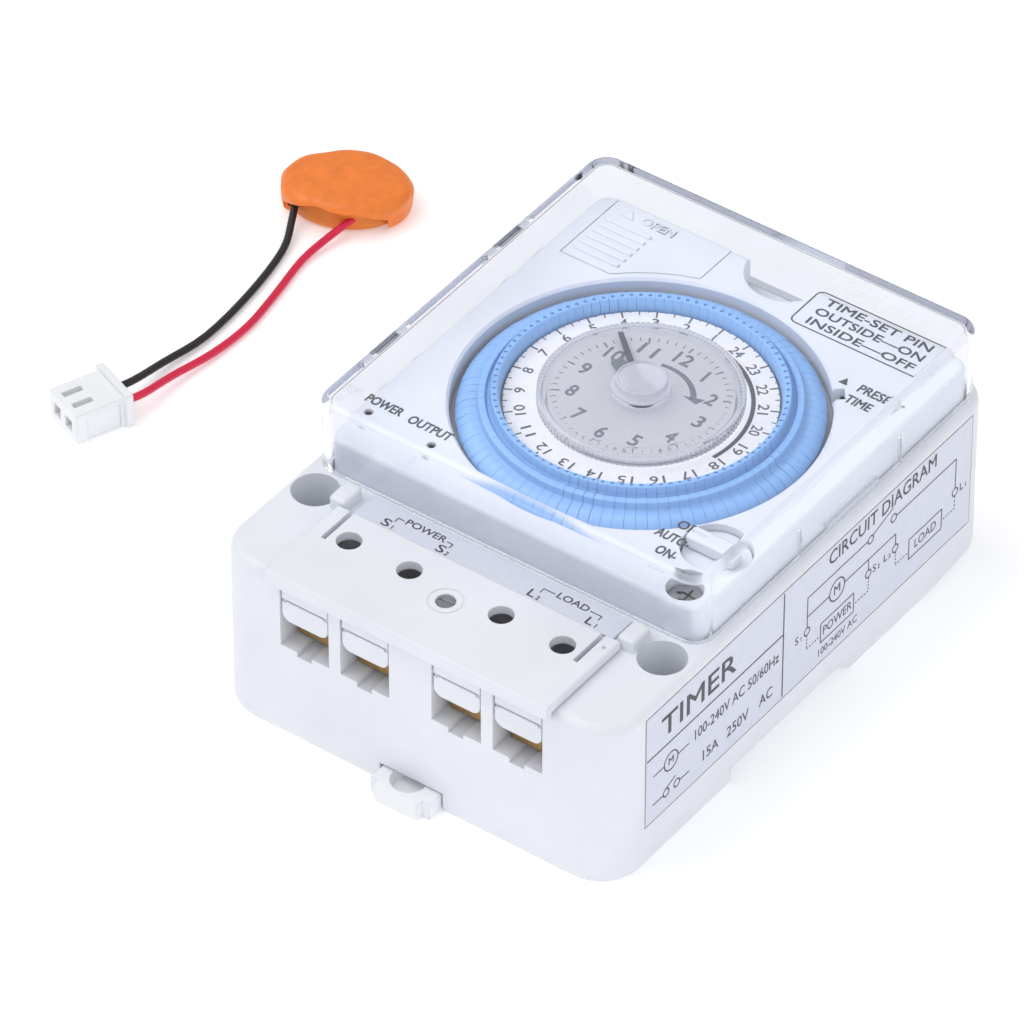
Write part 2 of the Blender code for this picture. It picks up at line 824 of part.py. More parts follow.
def wire(name, route, look):
    """A lead laid through its route points as a smooth line."""
    points = [Vector(p) for p in route]
    before = points[0] * 2 - points[1]
    after = points[-1] * 2 - points[-2]
    chain = [before, *points, after]
    line = []
    for a, b, c, d in zip(chain, chain[1:], chain[2:], chain[3:]):
        count = max(2, round((c - b).length / (5 * WIRE_RADIUS)))
        for k in range(count):
            t = k / count
            line.append(
                0.5
                * (
                    2 * b
                    + (c - a) * t
                    + (2 * a - 5 * b + 4 * c - d) * t * t
                    + (3 * b - a - 3 * c + d) * t**3
                )
            )
    line.append(points[-1])
    curve = bpy.data.curves.new(name, "CURVE")
    curve.dimensions = "3D"
    curve.bevel_depth = WIRE_RADIUS * MM
    curve.bevel_resolution = 2
    curve.use_fill_caps = True
    spline = curve.splines.new("POLY")
    spline.points.add(len(line) - 1)
    for point, spot in zip(spline.points, line):
        point.co = (*(spot * MM), 1)
    made = bpy.data.objects.new(name, curve)
    finish_object(made, name, look)
    return made


def battery_lead():
    battery_pack()
    turn = math.radians(PLUG_TURN)
    along = Vector((-math.sin(turn), math.cos(turn), 0))
    for name, route, s, colour in (
        ("black_wire", BLACK_ROUTE, -1, (0.03, 0.03, 0.035)),
        ("red_wire", RED_ROUTE, 1, (0.80, 0.05, 0.10)),
    ):
        end = Vector(plug_end(s))
        wire(name, [*route, end + along * 4.5, end], (colour, 0.45))
    plug = boxes("plug_housing", [((-4.7, -5.5, 0.3), (4.7, 5.0, 6.6))], NYLON, (0, 0, 0))
    bevel(plug, 0.4, 2)
    flange = boxes("add_flange", [((-5.3, 4.4, 0.1), (5.3, 5.7, 7.1))], None, (0, 0, 0))
    sockets = boxes(
        "cut_plug",
        [((s * PITCH / 2 - 1.1, -4.3, 2.2), (s * PITCH / 2 + 1.1, 9, 4.4)) for s in (-1, 1)],
        None,
        (0, 0, 0),
    )
    windows = boxes(
        "cut_windows",
        [((s * PITCH / 2 - 0.8, -4.2, 4.0), (s * PITCH / 2 + 0.8, -0.9, 9)) for s in (-1, 1)],
        None,
        (0, 0, 0),
    )
    for piece in (plug, flange, sockets, windows):
        turned(piece, PLUG, PLUG_TURN)
    fuse(plug, flange)
    cut(plug, sockets, windows)
    for side, s in (("a", -1), ("b", 1)):
        contact = boxes(
            f"plug_contact_{side}",
            [((s * PITCH / 2 - 0.8, -4.0, 2.5), (s * PITCH / 2 + 0.8, 3.6, 3.6))],
            BRASS,
            (0, 0, 0),
        )
        turned(contact, PLUG, PLUG_TURN)


base_housing()
label_plates()
rail_clip()
for index, pole in enumerate(POLES, 1):
    terminal_pole(index, pole)
terminal_cover()
front_housing()
battery_door()
mode_knob()
plate_trims()
clear_cover()
dial_parts()
drive()
inner_parts()
battery_lead()

for group in (PARTS, CUTTERS):
    for piece in group.objects:
        piece.location.y += CENTRE_SHIFT * MM
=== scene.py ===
"""Looks of a programmable timer switch and its backup battery lead.

Lengths are millimetres in the case's own frame: X to the reader's right, Y
towards the dial's 12, Z out of the dial. SHIFT moves that frame's Y to the
row frame, whose origin is the middle of the footprint.
"""

import json
import math

import bmesh
import bpy
from mathutils import Matrix, Vector


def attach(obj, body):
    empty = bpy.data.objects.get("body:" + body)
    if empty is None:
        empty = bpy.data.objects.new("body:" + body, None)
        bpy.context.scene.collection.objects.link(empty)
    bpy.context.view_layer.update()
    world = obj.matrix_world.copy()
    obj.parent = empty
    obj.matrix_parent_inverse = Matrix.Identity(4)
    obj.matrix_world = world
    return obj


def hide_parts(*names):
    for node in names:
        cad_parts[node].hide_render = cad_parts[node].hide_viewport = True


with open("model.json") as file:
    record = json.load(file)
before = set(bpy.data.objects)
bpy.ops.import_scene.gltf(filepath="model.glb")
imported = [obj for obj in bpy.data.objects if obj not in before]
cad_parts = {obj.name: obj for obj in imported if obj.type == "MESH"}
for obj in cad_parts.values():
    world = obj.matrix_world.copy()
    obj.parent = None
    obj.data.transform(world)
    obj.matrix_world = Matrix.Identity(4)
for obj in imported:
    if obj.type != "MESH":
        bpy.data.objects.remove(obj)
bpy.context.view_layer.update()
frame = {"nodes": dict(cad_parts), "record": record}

MM = 0.001
SHIFT = Vector((0, 2.3, 0))
GAP = 0.3
DIAL = (0.0, 9.3)
MODE = (31.2, -13.6)
POLES = (-21.75, -9.35, 9.35, 21.75)
WELL = (35.4, -34.2)
FIXING = (32.6, -23.4)
LID_SCREW = (0, -45.6)
LAMP_HOLES = ((-35.1, -19.8), (-21.6, -20.4))
HINGES = (-5.0, 30.0)
HINGE_BORE = (-39.5, 35.6, -50, 70)
HINGE_RADIUS = 0.75
TEETH = 96
HOUR_DIAL_TOP = 40.8
CLOCK_DIAL_TOP = 41.5
MIDNIGHT = 73.8
STRAIGHT_AFTER = 3.5


# ------------------------------------------------------------ materials


def srgb(red, green, blue):
    """A linear colour from 0 to 255 display values."""

    def linear(value):
        value /= 255
        return value / 12.92 if value <= 0.04045 else ((value + 0.055) / 1.055) ** 2.4

    return (linear(red), linear(green), linear(blue), 1.0)


class Nodes:
    """A material's node tree with short ways to add and link nodes."""

    def __init__(self, name):
        self.material = bpy.data.materials.new(name)
        self.material.use_nodes = True
        self.tree = self.material.node_tree
        self.shader = self.tree.nodes["Principled BSDF"]
        self.output = self.tree.nodes["Material Output"]
        self.place = self.add("ShaderNodeTexCoord").outputs["Object"]

    def add(self, kind, **values):
        made = self.tree.nodes.new(kind)
        for key, value in values.items():
            if hasattr(made, key):
                setattr(made, key, value)
            else:
                made.inputs[key.replace("_", " ")].default_value = value
        return made

    def link(self, source, target):
        self.tree.links.new(source, target)

    def noise(self, size_mm, detail=2.0, rough=0.5, stretch=(1, 1, 1)):
        """Noise whose features are about size_mm across."""
        source = self.place
        if stretch != (1, 1, 1):
            mapping = self.add("ShaderNodeMapping")
            mapping.inputs["Scale"].default_value = stretch
            self.link(self.place, mapping.inputs["Vector"])
            source = mapping.outputs["Vector"]
        made = self.add("ShaderNodeTexNoise", Scale=1 / (size_mm * MM), Detail=detail)
        made.inputs["Roughness"].default_value = rough
        self.link(source, made.inputs["Vector"])
        return made.outputs["Fac"]

    def spread(self, source, low, high):
        """Maps noise around its middle to a range."""
        made = self.add("ShaderNodeMapRange")
        for key, value in (("From Min", 0.3), ("From Max", 0.7), ("To Min", low), ("To Max", high)):
            made.inputs[key].default_value = value
        self.link(source, made.inputs["Value"])
        return made.outputs["Result"]

    def mix(self, factor, first, second):
        made = self.add("ShaderNodeMix", data_type="RGBA")
        for socket, value in ((0, factor), (6, first), (7, second)):
            if isinstance(value, bpy.types.NodeSocket):
                self.link(value, made.inputs[socket])
            else:
                made.inputs[socket].default_value = value
        return made.outputs[2]

    def bump(self, heights, soften=0.0):
        """Bump from (noise, strength, depth in mm), over edges softened by a radius in mm."""
        normal = None
        if soften:
            edge = self.add("ShaderNodeBevel", samples=4, Radius=soften * MM)
            normal = edge.outputs["Normal"]
        for source, strength, depth in heights:
            made = self.add("ShaderNodeBump", Strength=strength, Distance=depth * MM)
            self.link(source, made.inputs["Height"])
            if normal is not None:
                self.link(normal, made.inputs["Normal"])
            normal = made.outputs["Normal"]
        self.link(normal, self.shader.inputs["Normal"])


def darker(colour, share):
    return (*(channel * share for channel in colour[:3]), 1.0)


def plastic(
    name, colour, rough=0.42, grain=0.25, soften=0.25, shade=0.93, depth=0.012, hollow=0.0
):
    """Moulded plastic: fine grain, flow marks and dust. hollow sets how much painted shade an
    ambient-occlusion mask puts into its grooves and recesses.
    """
    n = Nodes(name)
    flow = n.noise(22.0, 3.0)
    dust = n.noise(3.0, 4.0, 0.6)
    tint = n.mix(n.spread(flow, 0.0, 1.0), darker(colour, shade), colour)
    tint = n.mix(n.spread(dust, 0.0, 0.10), tint, darker(colour, 0.8))
    # Painted shade: an ambient-occlusion mask darkens the base colour in grooves and recesses, where shade
    # falls.
    if hollow:
        corners = n.add("ShaderNodeAmbientOcclusion")
        corners.inputs["Distance"].default_value = 2.2 * MM
        tint = n.mix(corners.outputs["AO"], darker(colour, 1 - hollow), tint)
    n.link(tint, n.shader.inputs["Base Color"])
    n.link(n.spread(dust, rough - 0.05, rough + 0.08), n.shader.inputs["Roughness"])
    n.shader.inputs["Specular IOR Level"].default_value = 0.45
    n.bump([(n.noise(grain, 2.0), 0.35, depth), (flow, 0.15, 0.05)], soften)
    return n.material


def clear(name, tint, rough=0.02, wave=0.02, clarity=1.0, index=1.49):
    """Clear moulded plastic with faint waves.

    Shadow rays, and rays past STRAIGHT_AFTER bounces, go straight through it.
    """
    n = Nodes(name)
    haze = n.spread(n.noise(12.0), 0.0, 1.0)
    n.link(n.mix(haze, tint, darker(tint, 0.97)), n.shader.inputs["Base Color"])
    n.shader.inputs["Transmission Weight"].default_value = clarity
    n.shader.inputs["IOR"].default_value = index
    n.link(n.spread(n.noise(4.0, 4.0), rough, rough + 0.03), n.shader.inputs["Roughness"])
    n.bump([(n.noise(18.0, 1.0), 0.25, wave)], 0.35)
    path = n.add("ShaderNodeLightPath")
    through = n.add("ShaderNodeMath", operation="MAXIMUM")
    deep = n.add("ShaderNodeMath", operation="GREATER_THAN")
    deep.inputs[1].default_value = STRAIGHT_AFTER
    n.link(path.outputs["Ray Depth"], deep.inputs[0])
    n.link(path.outputs["Is Shadow Ray"], through.inputs[0])
    n.link(deep.outputs[0], through.inputs[1])
    window = n.add("ShaderNodeBsdfTransparent")
    window.inputs["Color"].default_value = tint
    both = n.add("ShaderNodeMixShader")
    n.link(through.outputs[0], both.inputs[0])
    n.link(n.shader.outputs[0], both.inputs[1])
    n.link(window.outputs[0], both.inputs[2])
    n.link(both.outputs[0], n.output.inputs["Surface"])
    return n.material


def metal(name, colour, rough=0.3, brushed=(1, 1, 12), spots=0.15):
    """Metal with drawn lines and dull oxide patches."""
    n = Nodes(name)
    patch = n.noise(2.2, 4.0, 0.65)
    lines = n.noise(0.5, 3.0, 0.6, brushed)
    tint = n.mix(n.spread(patch, 0.0, 1.0), colour, darker(colour, 1 - 2 * spots))
    n.link(tint, n.shader.inputs["Base Color"])
    n.shader.inputs["Metallic"].default_value = 1.0
    n.link(n.spread(patch, rough, rough + 0.2), n.shader.inputs["Roughness"])
    n.bump([(lines, 0.3, 0.02)], 0.12)
    return n.material


def ink(name, colour):
    """Printed ink, a little uneven."""
    n = Nodes(name)
    n.link(
        n.mix(n.spread(n.noise(0.6, 3.0), 0.0, 1.0), colour, darker(colour, 1.6)),
        n.shader.inputs["Base Color"],
    )
    n.shader.inputs["Roughness"].default_value = 0.5
    n.bump([(n.noise(0.2), 0.2, 0.004)])
    return n.material


def film(name, colour):
    """Satin printed film with a light pearly mottle."""
    n = Nodes(name)
    n.link(
        n.mix(n.spread(n.noise(1.3, 4.0), 0.0, 1.0), colour, darker(colour, 0.95)),
        n.shader.inputs["Base Color"],
    )
    n.link(n.spread(n.noise(9.0), 0.28, 0.4), n.shader.inputs["Roughness"])
    n.bump([(n.noise(0.35), 0.25, 0.006), (n.noise(15.0), 0.2, 0.03)])
    return n.material


def board_resist(name):
    """Green solder resist over a faint weave."""
    n = Nodes(name)
    weave = n.add("ShaderNodeTexChecker", Scale=1 / (0.8 * MM))
    n.link(n.place, weave.inputs["Vector"])
    tint = n.mix(n.spread(n.noise(6.0, 3.0), 0, 1), srgb(24, 92, 52), srgb(34, 112, 62))
    n.link(n.mix(0.05, tint, weave.outputs["Color"]), n.shader.inputs["Base Color"])
    n.shader.inputs["Roughness"].default_value = 0.35
    n.bump([(n.noise(0.8), 0.2, 0.02)])
    return n.material


def shrink(name, colour):
    """Heat-shrunk sleeve: glossy, drawn tight with shallow wrinkles."""
    n = Nodes(name)
    folds = n.noise(3.2, 4.0, 0.6, (1, 1, 2.4))
    tint = n.mix(n.spread(folds, 0.0, 1.0), colour, darker(colour, 0.82))
    n.link(tint, n.shader.inputs["Base Color"])
    n.link(n.spread(n.noise(2.0, 3.0), 0.33, 0.5), n.shader.inputs["Roughness"])
    n.shader.inputs["Subsurface Weight"].default_value = 0.06
    n.shader.inputs["Subsurface Radius"].default_value = (0.002, 0.001, 0.0005)
    n.bump([(folds, 0.6, 0.22), (n.noise(0.5), 0.25, 0.02)], 0.2)
    return n.material


WHITE = srgb(236, 239, 246)
LOOKS = {
    "case_plastic": plastic("case_plastic", WHITE),
    "clear_plastic": clear("clear_plastic", srgb(246, 247, 250), 0.01, 0.004, 1.0, 1.42),
    "knob_plastic": clear("knob_plastic", srgb(233, 233, 240), 0.08, 0.02, 0.55),
    "printed_label": film("printed_label", srgb(219, 222, 236)),
    "white_dial": film("white_dial", srgb(246, 245, 247)),
    # The last value, hollow, paints shade into the pin ring's grooves and recesses through an
    # ambient-occlusion mask.
    "blue_plastic": plastic("blue_plastic", srgb(150, 197, 251), 0.36, 0.3, 0.05, 0.94, 0.01, 0.3),
    "nylon": plastic("nylon", srgb(243, 245, 248), 0.35, 0.5, 0.3, 0.96),
    "dark_plastic": plastic("dark_plastic", srgb(52, 52, 55), 0.5),
    "hand_black": plastic("hand_black", srgb(98, 101, 107), 0.45, 0.2, 0.05),
    "brass": metal("brass", srgb(205, 168, 112), 0.28),
    "steel": metal("steel", srgb(168, 169, 172), 0.3),
    "board": board_resist("board"),
    "sleeve_orange": shrink("sleeve_orange", srgb(255, 136, 50)),
    "wire_black": plastic("wire_black", srgb(38, 36, 40), 0.38, 0.3, 0.0, 0.8),
    "wire_red": plastic("wire_red", srgb(226, 32, 74), 0.38, 0.3, 0.0, 0.85),
    "led_red": clear("led_red", srgb(230, 140, 130), 0.1),
    "led_green": clear("led_green", srgb(150, 215, 150), 0.1),
}
CELL_ORANGE = shrink("cell_wrap", srgb(236, 132, 36))
HOUR_GREY = plastic("hour_hand_grey", srgb(140, 150, 154), 0.45, 0.2, 0.05)
DISC_CLEAR = clear("disc_plastic", srgb(253, 253, 254), 0.03, 0.01)
CLOCK_INK = ink("clock_ink", srgb(122, 126, 138))
INK = ink("printed_ink", srgb(66, 66, 72))
SOFT_INK = ink("dial_ink", srgb(78, 80, 86))


# ------------------------------------------------------------ shapes


def new_mesh(name, bm, look=None):
    """An object from a bmesh in millimetres, with its place in its vertices."""
    for vert in bm.verts:
        vert.co = (vert.co + SHIFT) * MM
    bmesh.ops.recalc_face_normals(bm, faces=bm.faces)
    mesh = bpy.data.meshes.new(name)
    bm.to_mesh(mesh)
    bm.free()
    made = bpy.data.objects.new(name, mesh)
    bpy.context.scene.collection.objects.link(made)
    if look is not None:
        mesh.materials.append(look)
    return made


def box_into(bm, low, high):
    fresh = bmesh.ops.create_cube(bm, size=1.0)["verts"]
    bmesh.ops.scale(bm, vec=[b - a for a, b in zip(low, high)], verts=fresh)
    bmesh.ops.translate(bm, vec=[(a + b) / 2 for a, b in zip(low, high)], verts=fresh)
    return fresh


def soften(bm, verts, width, segments, pick):
    """Rounds the edges among verts that pick(start, end) chooses."""
    chosen = set(verts)
    edges = [
        e
        for e in bm.edges
        if e.verts[0] in chosen and e.verts[1] in chosen and pick(e.verts[0].co, e.verts[1].co)
    ]
    if edges:
        bmesh.ops.bevel(bm, geom=edges, offset=width, segments=segments, profile=0.5, affect="EDGES")


def upright(a, b):
    return abs(a.z - b.z) > 0.9 * (a - b).length


def block(low, high, plan=0.0, top=0.0, bottom=0.0, segments=8, rim=4, corner=None):
    """A box with rounded plan corners and rounded top and bottom rims."""
    bm = bmesh.new()
    box_into(bm, low, high)
    if plan:
        wanted = upright if corner is None else lambda a, b: upright(a, b) and corner(a)
        soften(bm, bm.verts, plan, segments, wanted)
    for width, level in ((top, high[2]), (bottom, low[2])):
        if width:
            wanted = lambda a, b, z=level: max(abs(a.z - z), abs(b.z - z)) < 1e-4
            soften(bm, bm.verts, width, rim, wanted)
    return bm


def tool(bm):
    return new_mesh("tool", bm)


def boxes(spans):
    bm = bmesh.new()
    for low, high in spans:
        box_into(bm, low, high)
    return tool(bm)


def rod_into(bm, centre, low, high, radius, segments=48, radius_top=None):
    return bmesh.ops.create_cone(
        bm,
        cap_ends=True,
        segments=segments,
        radius1=radius,
        radius2=radius if radius_top is None else radius_top,
        depth=high - low,
        matrix=Matrix.Translation((centre[0], centre[1], (low + high) / 2)),
    )["verts"]


def rods(spans, segments=48):
    """Upright cylinders from (centre, low, high, radius)."""
    bm = bmesh.new()
    for centre, low, high, radius in spans:
        rod_into(bm, centre, low, high, radius, segments)
    return tool(bm)


def along_y(spans, radius, segments=20):
    """Cylinders along Y from (x, z, front, back)."""
    bm = bmesh.new()
    for x, z, front, back in spans:
        turn = Matrix.Translation((x, (front + back) / 2, z)) @ Matrix.Rotation(math.pi / 2, 4, "X")
        bmesh.ops.create_cone(
            bm,
            cap_ends=True,
            segments=segments,
            radius1=radius,
            radius2=radius,
            depth=back - front,
            matrix=turn,
        )
    return tool(bm)


def turned_into(bm, centre, profile, steps=96, start=0.0, sweep=360.0):
    """Sweeps a closed (radius, z) profile about a centre. A part sweep gets end caps."""
    whole = sweep >= 360
    count = steps if whole else steps + 1
    rings = []
    for k in range(count):
        angle = math.radians(start + sweep * k / steps)
        spin = (math.cos(angle), math.sin(angle))
        rings.append(
            [bm.verts.new((centre[0] + r * spin[0], centre[1] + r * spin[1], z)) for r, z in profile]
        )
    size = len(profile)
    for k in range(steps):
        here, there = rings[k], rings[(k + 1) % count]
        for i in range(size):
            j = (i + 1) % size
            bm.faces.new((here[i], here[j], there[j], there[i]))
    if not whole:
        bm.faces.new(rings[0])
        bm.faces.new(rings[-1][::-1])


def turned(profile, steps=128):
    bm = bmesh.new()
    turned_into(bm, DIAL, profile, steps)
    return bm


def combine(made, steps):
    """Applies (operation, tool) steps and removes the tools."""
    for operation, other in steps:
        modifier = made.modifiers.new("combine", "BOOLEAN")
        modifier.operation = operation
        modifier.solver = "EXACT"
        modifier.object = other
    bpy.context.view_layer.update()
    shown = made.evaluated_get(bpy.context.evaluated_depsgraph_get())
    baked = bpy.data.meshes.new_from_object(shown)
    made.modifiers.clear()
    made.data = baked
    for _, other in steps:
        bpy.data.objects.remove(other, do_unlink=True)
    return made


def finish_piece(made, body, slot, nodes=(), look=None, angle=35.0):
    """Smooth shading, finish, and the CAD body that the piece moves with."""
    mesh = made.data
    mesh.polygons.foreach_set("use_smooth", [True] * len(mesh.polygons))
    mesh.set_sharp_from_angle(angle=math.radians(angle))
    even = made.modifiers.new("even_normals", "WEIGHTED_NORMAL")
    even.keep_sharp = True
    mesh.materials.clear()
    mesh.materials.append(look or LOOKS[slot])
    if nodes:
        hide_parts(*nodes)
    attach(made, body)
    return made


def around(radius, degrees, centre=DIAL):
    angle = math.radians(degrees)
    return centre[0] + radius * math.cos(angle), centre[1] + radius * math.sin(angle)


# ------------------------------------------------------------ print


class Print:
    """Flat printed marks on one plane, placed by u across it and v up it."""

    DEPTH = 0.03

    def __init__(self, origin, across, up):
        across, up = Vector(across), Vector(up)
        out = across.cross(up)
        self.turn = Matrix((across, up, out)).transposed().to_4x4()
        self.turn.translation = Vector(origin)
        self.bm = bmesh.new()

    def _add(self, flat):
        """Takes a bmesh drawn on XY with its front at Z = DEPTH."""
        flat.transform(self.turn)
        keep = bpy.data.meshes.new("mark")
        flat.to_mesh(keep)
        flat.free()
        self.bm.from_mesh(keep)
        bpy.data.meshes.remove(keep)

    def words(self, text, u, v, height, width=None, bold=0.0, turn=0.0):
        """Text whose capitals are height tall, optionally fitted to a width."""
        curve = bpy.data.curves.new("words", "FONT")
        curve.body = text
        curve.size = height / 0.73
        curve.align_x = "CENTER"
        curve.align_y = "CENTER"
        curve.resolution_u = 3
        curve.extrude = self.DEPTH / 2
        holder = bpy.data.objects.new("words", curve)
        bpy.context.scene.collection.objects.link(holder)
        bpy.context.view_layer.update()
        mesh = bpy.data.meshes.new_from_object(
            holder.evaluated_get(bpy.context.evaluated_depsgraph_get())
        )
        bpy.data.objects.remove(holder, do_unlink=True)
        flat = bmesh.new()
        flat.from_mesh(mesh)
        bpy.data.meshes.remove(mesh)
        xs = [vert.co.x for vert in flat.verts]
        squeeze = 1.0 if width is None else width / (max(xs) - min(xs))
        place = Matrix.Translation((u, v, self.DEPTH / 2)) @ Matrix.Rotation(math.radians(turn), 4, "Z")
        flat.transform(place @ Matrix.Diagonal((squeeze, 1, 1, 1)))
        if not bold:
            self._add(flat)
            return
        for k, (over, rise) in enumerate(((-1, -1), (1, -1), (1, 1), (-1, 1))):
            stroke = flat.copy()
            bmesh.ops.translate(stroke, vec=(over * bold, rise * bold, 0.001 * k), verts=stroke.verts)
            self._add(stroke)
        flat.free()

    def shape(self, points):
        """A filled outline."""
        flat = bmesh.new()
        low = [flat.verts.new((x, y, 0)) for x, y in points]
        high = [flat.verts.new((x, y, self.DEPTH)) for x, y in points]
        flat.faces.new(low[::-1])
        flat.faces.new(high)
        for k in range(len(points)):
            j = (k + 1) % len(points)
            flat.faces.new((low[k], low[j], high[j], high[k]))
        self._add(flat)

    def line(self, a, b, width):
        a, b = Vector(a), Vector(b)
        side = (b - a).normalized().orthogonal() * width / 2
        self.shape([tuple(a - side), tuple(b - side), tuple(b + side), tuple(a + side)])

    def path(self, points, width, dashes=0.0):
        for a, b in zip(points, points[1:]):
            if not dashes:
                self.line(a, b, width)
                continue
            a, b = Vector(a), Vector(b)
            count = max(1, round((b - a).length / (2 * dashes)))
            for k in range(count):
                self.line(a.lerp(b, k / count), a.lerp(b, (k + 0.5) / count), width)

    def arc(self, centre, radius, width, start=0.0, end=360.0, steps=48, taper=1.0):
        """A band along an arc. taper is the width at its end over that at its start."""
        for k in range(steps):
            ends = []
            for share in (k / steps, (k + 1) / steps):
                half = width / 2 * (1 + (taper - 1) * share)
                degrees = start + (end - start) * share
                ends.append((around(radius - half, degrees, centre), around(radius + half, degrees, centre)))
            self.shape([ends[0][0], ends[0][1], ends[1][1], ends[1][0]])

    def done(self, name, body, slot, look=INK):
        made = new_mesh(name, self.bm, look)
        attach(made, body)
        return made


def deck(z):
    """A printing plane facing up."""
    return Print((0, 0, z), (1, 0, 0), (0, 1, 0))


# ------------------------------------------------------------ camera and cords

AZIMUTH, ELEVATION = math.radians(36.20), math.radians(41.04)
LENS = 303.4
CAMERA_BACK, CAMERA_RIGHT, CAMERA_UP = 1462.95, -16.10, 17.55


def place_camera():
    right = Vector((math.cos(AZIMUTH), math.sin(AZIMUTH), 0))
    level = math.cos(ELEVATION)
    back = Vector((math.sin(AZIMUTH) * level, -math.cos(AZIMUTH) * level, math.sin(ELEVATION)))
    up = back.cross(right)
    spot = (back * CAMERA_BACK + right * CAMERA_RIGHT + up * CAMERA_UP + SHIFT) * MM
    camera = bpy.data.objects.new("camera", bpy.data.cameras.new("camera"))
    bpy.context.scene.collection.objects.link(camera)
    turn = Matrix((right, up, back)).transposed().to_4x4()
    camera.matrix_world = Matrix.Translation(spot) @ turn
    camera.data.lens = LENS
    camera.data.sensor_width = 36.0
    camera.data.clip_start, camera.data.clip_end = 0.1, 20.0
    bpy.context.scene.camera = camera


place_camera()

PACK, PACK_TURN = (-102.0, 62.0), 25.0
PLUG, PLUG_TURN = (-102.2, -11.6), -21.7
PITCH = 3.96
WIRE_RADIUS = 0.7
BLACK_ROUTE = (
    (-107.6, 54.2, 3.3),
    (-105.7, 50.6, 2.2),
    (-102.9, 44.2, 0.9),
    (-100.4, 31.1, 0.8),
    (-99.4, 17.4, 0.9),
    (-100.6, 6.8, 1.5),
)
RED_ROUTE = (
    (-96.6, 57.2, 3.0),
    (-97.9, 51.6, 1.8),
    (-98.5, 44.2, 0.9),
    (-96.6, 33.7, 0.8),
    (-95.2, 23.9, 0.8),
    (-95.5, 14.4, 1.0),
    (-96.8, 4.4, 1.9),
)


def turn_about(spot, degrees):
    return Matrix.Translation((*spot, 0)) @ Matrix.Rotation(math.radians(degrees), 4, "Z")


def turn_piece(made, spot, degrees):
    """Turns a piece made about the origin and puts it at its spot."""
    local = Matrix.Translation(SHIFT * MM)
    spin = turn_about(spot, degrees)
    spin.translation *= MM
    made.data.transform(local @ spin @ local.inverted())
    return made


def spline_points(route, pieces=4):
    """Points on a smooth line through the route."""
    points = [Vector(p) for p in route]
    chain = [points[0] * 2 - points[1], *points, points[-1] * 2 - points[-2]]
    line = []
    for a, b, c, d in zip(chain, chain[1:], chain[2:], chain[3:]):
        for k in range(pieces):
            t = k / pieces
            even = 2 * b + (c - a) * t
            bend = (2 * a - 5 * b + 4 * c - d) * t * t + (3 * b - a - 3 * c + d) * t**3
            line.append(0.5 * (even + bend))
    return [*line, points[-1]]


def wire(name, route, side, slot):
    turn = turn_about(PLUG, PLUG_TURN)
    end = turn @ Vector((side * PITCH / 2, 5.0, 3.3))
    before = turn @ Vector((side * PITCH / 2, 9.5, 3.3))
    line = spline_points([*route, before, end])
    curve = bpy.data.curves.new(name, "CURVE")
    curve.dimensions = "3D"
    curve.bevel_depth = WIRE_RADIUS * MM
    curve.bevel_resolution = 6
    curve.use_fill_caps = True
    spline = curve.splines.new("POLY")
    spline.points.add(len(line) - 1)
    for point, spot in zip(spline.points, line):
        point.co = (*((spot + SHIFT) * MM), 1)
    spline.use_smooth = True
    made = bpy.data.objects.new(name, curve)
    bpy.context.scene.collection.objects.link(made)
    curve.materials.append(LOOKS[slot])
    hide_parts(name.replace("lead", "wire"))
    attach(made, "battery_lead")


def plug_piece():
    """The white two-way plug: wafer body, rear flange, ribs and latch windows."""
    body = new_mesh("plug", block((-4.6, -5.5, 0.3), (4.6, 5.0, 6.5), 0.3, 0.35, 0.2, 2, 2))
    flange = block((-5.3, 4.2, 0.1), (5.3, 5.7, 7.1), 0.2, 0.2, 0.2, 2, 2)
    half = PITCH / 2
    cut = []
    for s in (-1, 1):
        cut.append(((s * half - 1.1, -8, 2.0), (s * half + 1.1, 9, 4.4)))
        cut.append(((s * 1.75 - 0.6, -4.4, 3.9), (s * 1.75 + 0.6, -0.6, 9)))
    cut.append(((-6, -3.2, -1), (-4.35, 3.4, 5.4)))
    cut.append(((4.35, -3.2, -1), (6, 3.4, 5.4)))
    made = combine(body, [("UNION", tool(flange)), ("DIFFERENCE", boxes(cut))])
    turn_piece(made, PLUG, PLUG_TURN)
    return finish_piece(made, "battery_lead", "nylon", ["plug_housing"])


plug = plug_piece()
wire("black_lead", BLACK_ROUTE, -1, "wire_black")
wire("red_lead", RED_ROUTE, 1, "wire_red")


# ------------------------------------------------------------ battery pack


PACK_LOW, PACK_HIGH = 0.3, 6.9
PACK_HALF = (12.2, 9.2)


def pillow(name, inset, rings):
    """An oval body from (reach, level) rings: shares of the pack's half axes and height."""
    steps = 112
    tall = PACK_HIGH - PACK_LOW
    bm = bmesh.new()
    loops = []
    for reach, level in rings:
        loop = []
        for k in range(steps):
            angle = 2 * math.pi * k / steps
            c, s = math.cos(angle), math.sin(angle)
            flat = 1 - 0.035 * math.exp(-((c + 0.45) ** 2) / 0.05) * (s > 0)
            crease = 0.012 * math.sin(5 * angle + 1) + 0.008 * math.sin(11 * angle)
            wide = min(1.0, reach * (0.988 + crease * level) * flat)
            tilt = 0.05 * c * reach * (level > 0.7)
            x = (PACK_HALF[0] - inset) * wide * c
            y = (PACK_HALF[1] - inset) * wide * s
            z = PACK_LOW + tall * min(1.0, max(0.0, level - abs(tilt)))
            loop.append(bm.verts.new((x, y, z)))
        loops.append(loop)
    for here, there in zip(loops, loops[1:]):
        for k in range(steps):
            j = (k + 1) % steps
            bm.faces.new((here[k], here[j], there[j], there[k]))
    bm.faces.new(loops[0][::-1])
    bm.faces.new(loops[-1])
    return new_mesh(name, bm)


